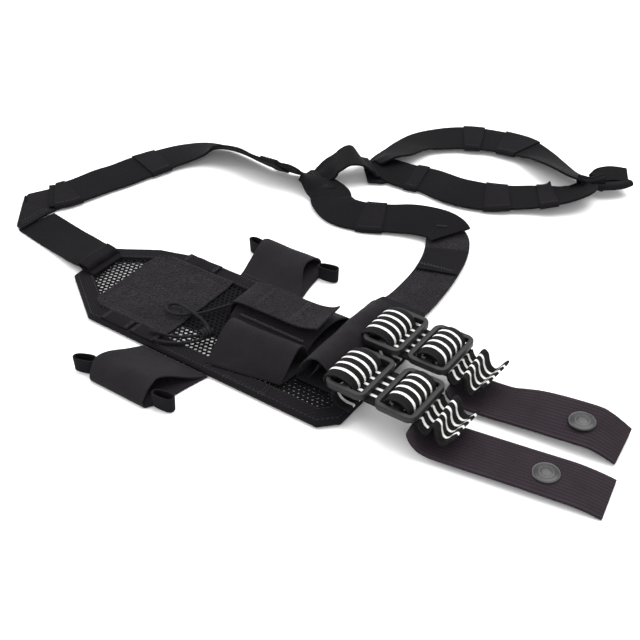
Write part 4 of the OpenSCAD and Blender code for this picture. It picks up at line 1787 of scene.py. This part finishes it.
@dataclass
class Wing:
    """A side wing: a flattened tube that lifts on the panel's edge, with two pull tabs."""

    body: str
    sign: float
    x0: float
    x1: float
    slant: float
    height: float
    tabs: tuple[tuple[float, float, float], ...]
    seed: float
    reach: float = 43.0

    def build(self) -> None:
        """Sews the wing and its tabs."""
        inset, top = 0.5, 0.6
        base_y = self.sign * 45.05

        def spot(a: float, b: float) -> Vector:
            """A point of the wing's wall.

            Args:
                a: the share along.
                b: the share round.

            Returns:
                The place, in metres.
            """
            if b < top:
                out, up = soft_hump(self.reach - 2 * inset, self.height - 2 * inset, 2.2, b / top)
            else:
                out, up = (self.reach - 2 * inset) * (1 - b) / (1 - top), 0.0
            share = out / self.reach
            bow = 1.6 * math.sin(math.pi * share)
            recede = 7.5 * math.sin(math.pi * share ** 1.3) ** 1.5 if b < top else -0.8
            corner = 3.0 * max(0.0, share - 0.72) / 0.28
            x = self.x0 + self.slant * share + corner ** 1.5 * (1 - 2 * a)
            x += (self.x1 - self.x0 - recede) * a
            x += bow * (1 - 2 * a) * 0.6
            puff = 0.5 * ripple(x, out, self.seed, 16) + 0.2 * ripple(x, out, self.seed + 2, 7)
            sag = -0.9 * math.sin(math.pi * a) * (up / self.height)
            z = 0.25 + inset + up + (puff + sag if up > 1 else 0.0)
            return point(x, base_y + self.sign * (out + inset * 0.2), max(z, 0.75))

        piece = Bench.cloth(f"{self.body}_cloth", 56, 84, spot, ((self.x1 - self.x0) * MM, 0.09), 1.0 * MM,
                            POUCH, closed=True, round_edge=0.2 * MM, fix=True)
        place_piece(piece, self.body, self.body)
        made = [self._tab(f"tab_{i}", *tab) for i, tab in enumerate(self.tabs)]
        place_piece(Bench.join(made, f"{self.body}_pulls"), self.body, f"{self.body}_tabs")
        off = 1.4
        y, z = self.sign * (45.9 + off), 0.9 + 2.3 * off / 3 + 1.2
        seam = [point(self.x0 + 2 + (self.x1 - self.x0 - 4) * i / 20, y, z) for i in range(21)]
        place_piece(Bench.stitches(f"{self.body}_seam", [seam], WING_SEAM), self.body)

    def _tab(self, name: str, x: float, y: float, degrees: float) -> bpy.types.Object:
        """A loop of narrow webbing standing on its edge.

        Args:
            name: what the piece is called.
            x: its middle, along the panel.
            y: its middle, across the panel.
            degrees: how far it is turned.

        Returns:
            The finished loop.
        """
        turn0 = math.radians(degrees)

        def spot(a: float, b: float) -> Vector:
            """A point of the loop's wall.

            Args:
                a: the share round.
                b: the share up.

            Returns:
                The place, in metres.
            """
            turn = 2 * math.pi * a
            c, s = math.cos(turn), math.sin(turn)
            u = math.copysign(abs(c) ** 0.7, c) * (6.4 + 0.5 * b)
            v = math.copysign(abs(s) ** 0.8, s) * (2.7 + 0.3 * b)
            px = x + u * math.cos(turn0) - v * math.sin(turn0)
            py = y + u * math.sin(turn0) + v * math.cos(turn0)
            return point(px, py, 0.5 + 9.6 * b + 0.25 * math.sin(2 * turn))

        return Bench.cloth(name, 48, 8, spot, (0.034, 0.0096), 1.0 * MM, KEEPER, closed=True,
                           round_edge=0.25 * MM)


# ---- elastics, adjusters and belt straps ----

@dataclass
class ElasticLine:
    """One striped elastic with its two adjusters and its crumpled tail."""

    side: str
    y: float
    inner_x: float
    outer_x: float
    rise: float
    bar: float = 38.0
    long: float = 26.0
    thick: float = 4.0

    def build(self) -> None:
        """Runs the elastic, threads the adjusters and leaves the tail."""
        end = self.outer_x + 12.0
        rows = ((113, 5.2), (108, 5.2), (104.6, 6.4), (102.2, 8.8), (101.4, 11.6), (102.2, 14.8),
                (104.8, 17.8), (109, 18.8), (118, 18.8), (end - 12, 18.8), (end, 18.8))
        course = local_course((0, self.y), 0.0, rows)
        run = ribbon(f"{self.side}_elastic_run", course, finish=STRIPED, seed=50 + self.y, per_mm=1.0)
        place_piece(run, ROOT, f"{self.side}_elastic")
        for name, x in (("inner", self.inner_x), ("outer", self.outer_x)):
            body = f"{self.side}_{name}_adjuster"
            place_piece(self._adjuster(f"{body}_frame", x), body, body)
            place_piece(self._wrap(f"{self.side}_{name}_arch", x), body, f"{self.side}_{name}_wrap")
        self._tail()

    def _adjuster(self, name: str, x: float) -> bpy.types.Object:
        """A moulded frame with two slots and a centre bar, round at all its edges.

        Args:
            name: what the frame is called.
            x: its middle, along the elastic.

        Returns:
            The finished frame.
        """
        Bench.clear()
        centre = point(x, self.y, FRAME_Z + self.thick / 2)
        bpy.ops.mesh.primitive_cube_add(size=1.0)
        piece = bpy.context.active_object
        piece.name = name
        piece.scale = Vector((self.long, self.bar, self.thick)) * MM
        Bench.settle(piece)
        bpy.ops.object.mode_set(mode="EDIT")
        bpy.ops.mesh.select_mode(type="EDGE")
        bpy.ops.mesh.select_all(action="DESELECT")
        bpy.ops.object.mode_set(mode="OBJECT")
        for edge in piece.data.edges:
            a, b = (piece.data.vertices[i].co for i in edge.vertices)
            edge.select = abs(a.z - b.z) > 1e-6
        bpy.ops.object.mode_set(mode="EDIT")
        bpy.ops.mesh.bevel(offset=5.4 * MM, segments=8, affect="EDGES")
        bpy.ops.object.mode_set(mode="OBJECT")
        slot_l = (self.long - 11.4) / 2
        half_bar = 2.5
        for s in (-1, 1):
            bpy.ops.mesh.primitive_cube_add(size=1.0)
            cutter = bpy.context.active_object
            cutter.scale = Vector((slot_l, WEB_W + 1.2, 3 * self.thick)) * MM
            cutter.location = point(s * (half_bar + slot_l / 2), 0, 0)
            Bench.settle(cutter)
            Bench.soften(cutter, 1.2 * MM, 3, 30.0)
            Bench.apply(piece, "BOOLEAN", operation="DIFFERENCE", object=cutter, solver="EXACT")
            bpy.data.objects.remove(cutter)
        Bench.soften(piece, 1.15 * MM, 4, 50.0)
        for vertex in piece.data.vertices:
            vertex.co += centre
        Bench.map_flat(piece)
        Bench.smooth(piece, 35)
        return Bench.dress(piece, PLASTIC)

    def _wrap(self, name: str, x: float) -> bpy.types.Object:
        """The elastic where it bulges over the centre bar.

        Args:
            name: what the arch is called.
            x: the bar's middle, along the elastic.

        Returns:
            The finished arch.
        """
        rows = ((-7.5, 0.0), (-7.6, 2.2), (-6.8, 5.2), (-4.3, 7.5), (0.0, 8.6), (4.3, 7.5), (6.8, 5.2),
                (7.6, 2.2), (7.5, 0.0))
        if x == self.inner_x:
            rows = ((-15.0, -1.2), (-15.0, 1.8), (-13.0, 4.6), (-9.6, 6.4), (-5.4, 7.2), (-1.0, 6.6),
                    (2.2, 4.8), (3.8, 2.4), (4.2, 0.0))
        course = local_course((x, self.y), 0.0, tuple((a, FRAME_Z + b) for a, b in rows))
        long = course.length(0, course.last)

        def spot(a: float, b: float) -> Vector:
            """A point of the arch.

            Args:
                a: the share along.
                b: the share across.

            Returns:
                The place, in metres.
            """
            p, across, up = course.axes(a * course.last)
            off = (b - 0.5) * 29.0
            belly = 0.35 * math.sin(math.pi * b) - 0.9 * abs(2 * b - 1) ** 6
            return (p + across * off + up * (belly * math.sin(math.pi * a))) * MM

        return Bench.cloth(name, 48, 30, spot, (long, 0.030), 1.5 * MM, STRIPED, round_edge=0.4 * MM)

    def _tail(self) -> None:
        """The loose end, crumpled into soft folds."""
        start = self.outer_x + 12.6
        rows = ((0, 18.6), (1.6, 15.2), (4.2, 13.4), (6.6, 15.6), (7.6, 19.6), (9.4, 22.0), (11.4, 20.4),
                (12.2, 16.4), (13.8, 12.8), (16.4, 11.8), (19.0, 13.6 + self.rise),
                (21.0, 17.0 + self.rise), (23.0, 19.4 + self.rise))
        course = local_course((start, self.y), 0.0, rows)
        long = course.length(0, course.last)

        def spot(a: float, b: float) -> Vector:
            """A point of the loose end.

            Args:
                a: the share along.
                b: the share across.

            Returns:
                The place, in metres.
            """
            p, across, up = course.axes(a * course.last)
            off = (b - 0.5) * 29.0
            loose = min(1.0, a * 3)
            sway = loose * (0.9 * math.sin(math.pi * b + 5.0 * a) + 0.8 * ripple(a * 22, off, self.y, 14))
            twist = loose * 0.8 * ripple(a * 26, off, self.y + 9, 13)
            return (p + across * off + up * twist + Vector((sway, 0, 0))) * MM

        piece = Bench.cloth(f"{self.side}_loose_end", 90, 36, spot, (long, 0.030), 1.4 * MM, STRIPED,
                            round_edge=0.35 * MM)
        place_piece(piece, f"{self.side}_outer_adjuster", f"{self.side}_tail")


@dataclass
class BeltStrap:
    """A ribbed strap that folds back round a belt and closes with a press stud."""

    side: str
    origin: tuple[float, float]
    degrees: float
    rows: tuple[tuple[float, float], ...]
    fold_z: float
    cap_z: float
    rolls: tuple[float, ...] = ()

    def build(self) -> None:
        """Lays the strap as one piece across its fold, and sets the press stud's cap."""
        flat = local_course(self.origin, self.degrees, self.rows)
        rolls = (0.0,) * (len(self.rows) - len(self.rolls)) + self.rolls
        course = Course(tuple((*row, roll) for row, roll in zip(flat.rows, rolls)))
        piece = ribbon(f"{self.side}_belt_webbing", course, finish=RIBBED, wave=0.35,
                       seed=60 + self.degrees, ribs=0.22, per_mm=0.7)
        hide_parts(f"{self.side}_belt_strap", f"{self.side}_belt_tip")
        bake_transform(piece)
        log.info("%s_belt_webbing bends at its fold", self.side)
        profile = ((5.2, -0.1), (7.3, 0.0), (7.75, 0.45), (7.7, 0.9), (7.35, 1.2), (7.0, 1.2), (6.7, 1.1),
                   (6.4, 1.2), (5.2, 1.6), (5.05, 1.56), (4.9, 1.66), (3.6, 1.94), (3.45, 1.9), (3.3, 1.98),
                   (1.8, 2.16), (0.8, 2.2), (0.02, 2.2))
        cap = Bench.turned(f"{self.side}_stud_cap", profile, Vector(self._at(CAP_U, self.cap_z)), LACQUER)
        place_piece(cap, f"{self.side}_belt_tip", f"{self.side}_snap_cap")

    def _at(self, u: float, z: float) -> tuple[float, float, float]:
        """A point on the strap's line, in metres.

        Args:
            u: how far along it, in millimetres.
            z: its height, in millimetres.

        Returns:
            The point.
        """
        turn = math.radians(self.degrees)
        x = self.origin[0] + u * math.cos(turn)
        y = self.origin[1] + u * math.sin(turn)
        return (x * MM, y * MM, z * MM)


def dress_hardware() -> None:
    """Finishes the press studs' hidden halves, which keep their CAD shape."""
    for side in ("near", "far"):
        for part in ("socket", "stud"):
            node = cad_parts[f"{side}_snap_{part}"]
            node.data.materials.clear()
            node.data.materials.append(NICKEL.material())


def main() -> None:
    """Builds the studio and the harness, piece by piece, in order."""
    logging.basicConfig(level=logging.INFO, format="%(name)s: %(message)s")
    Bench.clear()
    Studio().build()
    ElasticCord().build()
    Panel().build()
    ArmLoop().build()
    ShoulderLoop().build()
    Pouches().build()
    Wing("near_wing", sign=-1.0, x0=-25.0, x1=25.0, slant=-8.0, height=12.0,
         tabs=((-37.2, -81, 20), (22.4, -79.6, 8)), seed=70.0).build()
    Wing("far_wing", sign=1.0, x0=-22.0, x1=26.0, slant=-7.0, height=11.0,
         tabs=((-29, 75, -10), (27.2, 77, 10)), seed=75.0).build()
    ElasticLine("near", y=NEAR_Y, inner_x=111.0, outer_x=143.0, rise=0.0).build()
    ElasticLine("far", y=FAR_Y, inner_x=107.0, outer_x=137.0, rise=1.5).build()
    near_rows = ((2.4, 16.4), (3.0, 13.2), (5.2, 9.2), (9.4, 5.9), (16, 4.0), (30, 4.0), (48, 4.0),
                 (70, 4.0), (88, 4.0), (98, 3.2), (109, 0.9))
    BeltStrap("near", origin=(150.0, -20.0), degrees=9.0, rows=near_rows, fold_z=4.0, cap_z=4.8).build()
    far_rows = ((0.6, 12.2), (1.4, 10.2), (3.4, 7.7), (7.4, 5.2), (14, 4.0), (30, 4.0), (38, 5.2),
                (48, 6.8), (62, 7.8), (80, 8.6), (86, 7.6), (94, 4.4), (99, 2.0))
    BeltStrap("far", origin=(150.0, 26.0), degrees=6.5, rows=far_rows, fold_z=6.8, cap_z=9.4,
              rolls=(2.0, 6.0, 9.0, 9.0, 7.0, 3.0, 1.0)).build()
    dress_hardware()


if __name__ == "__main__":
    main()
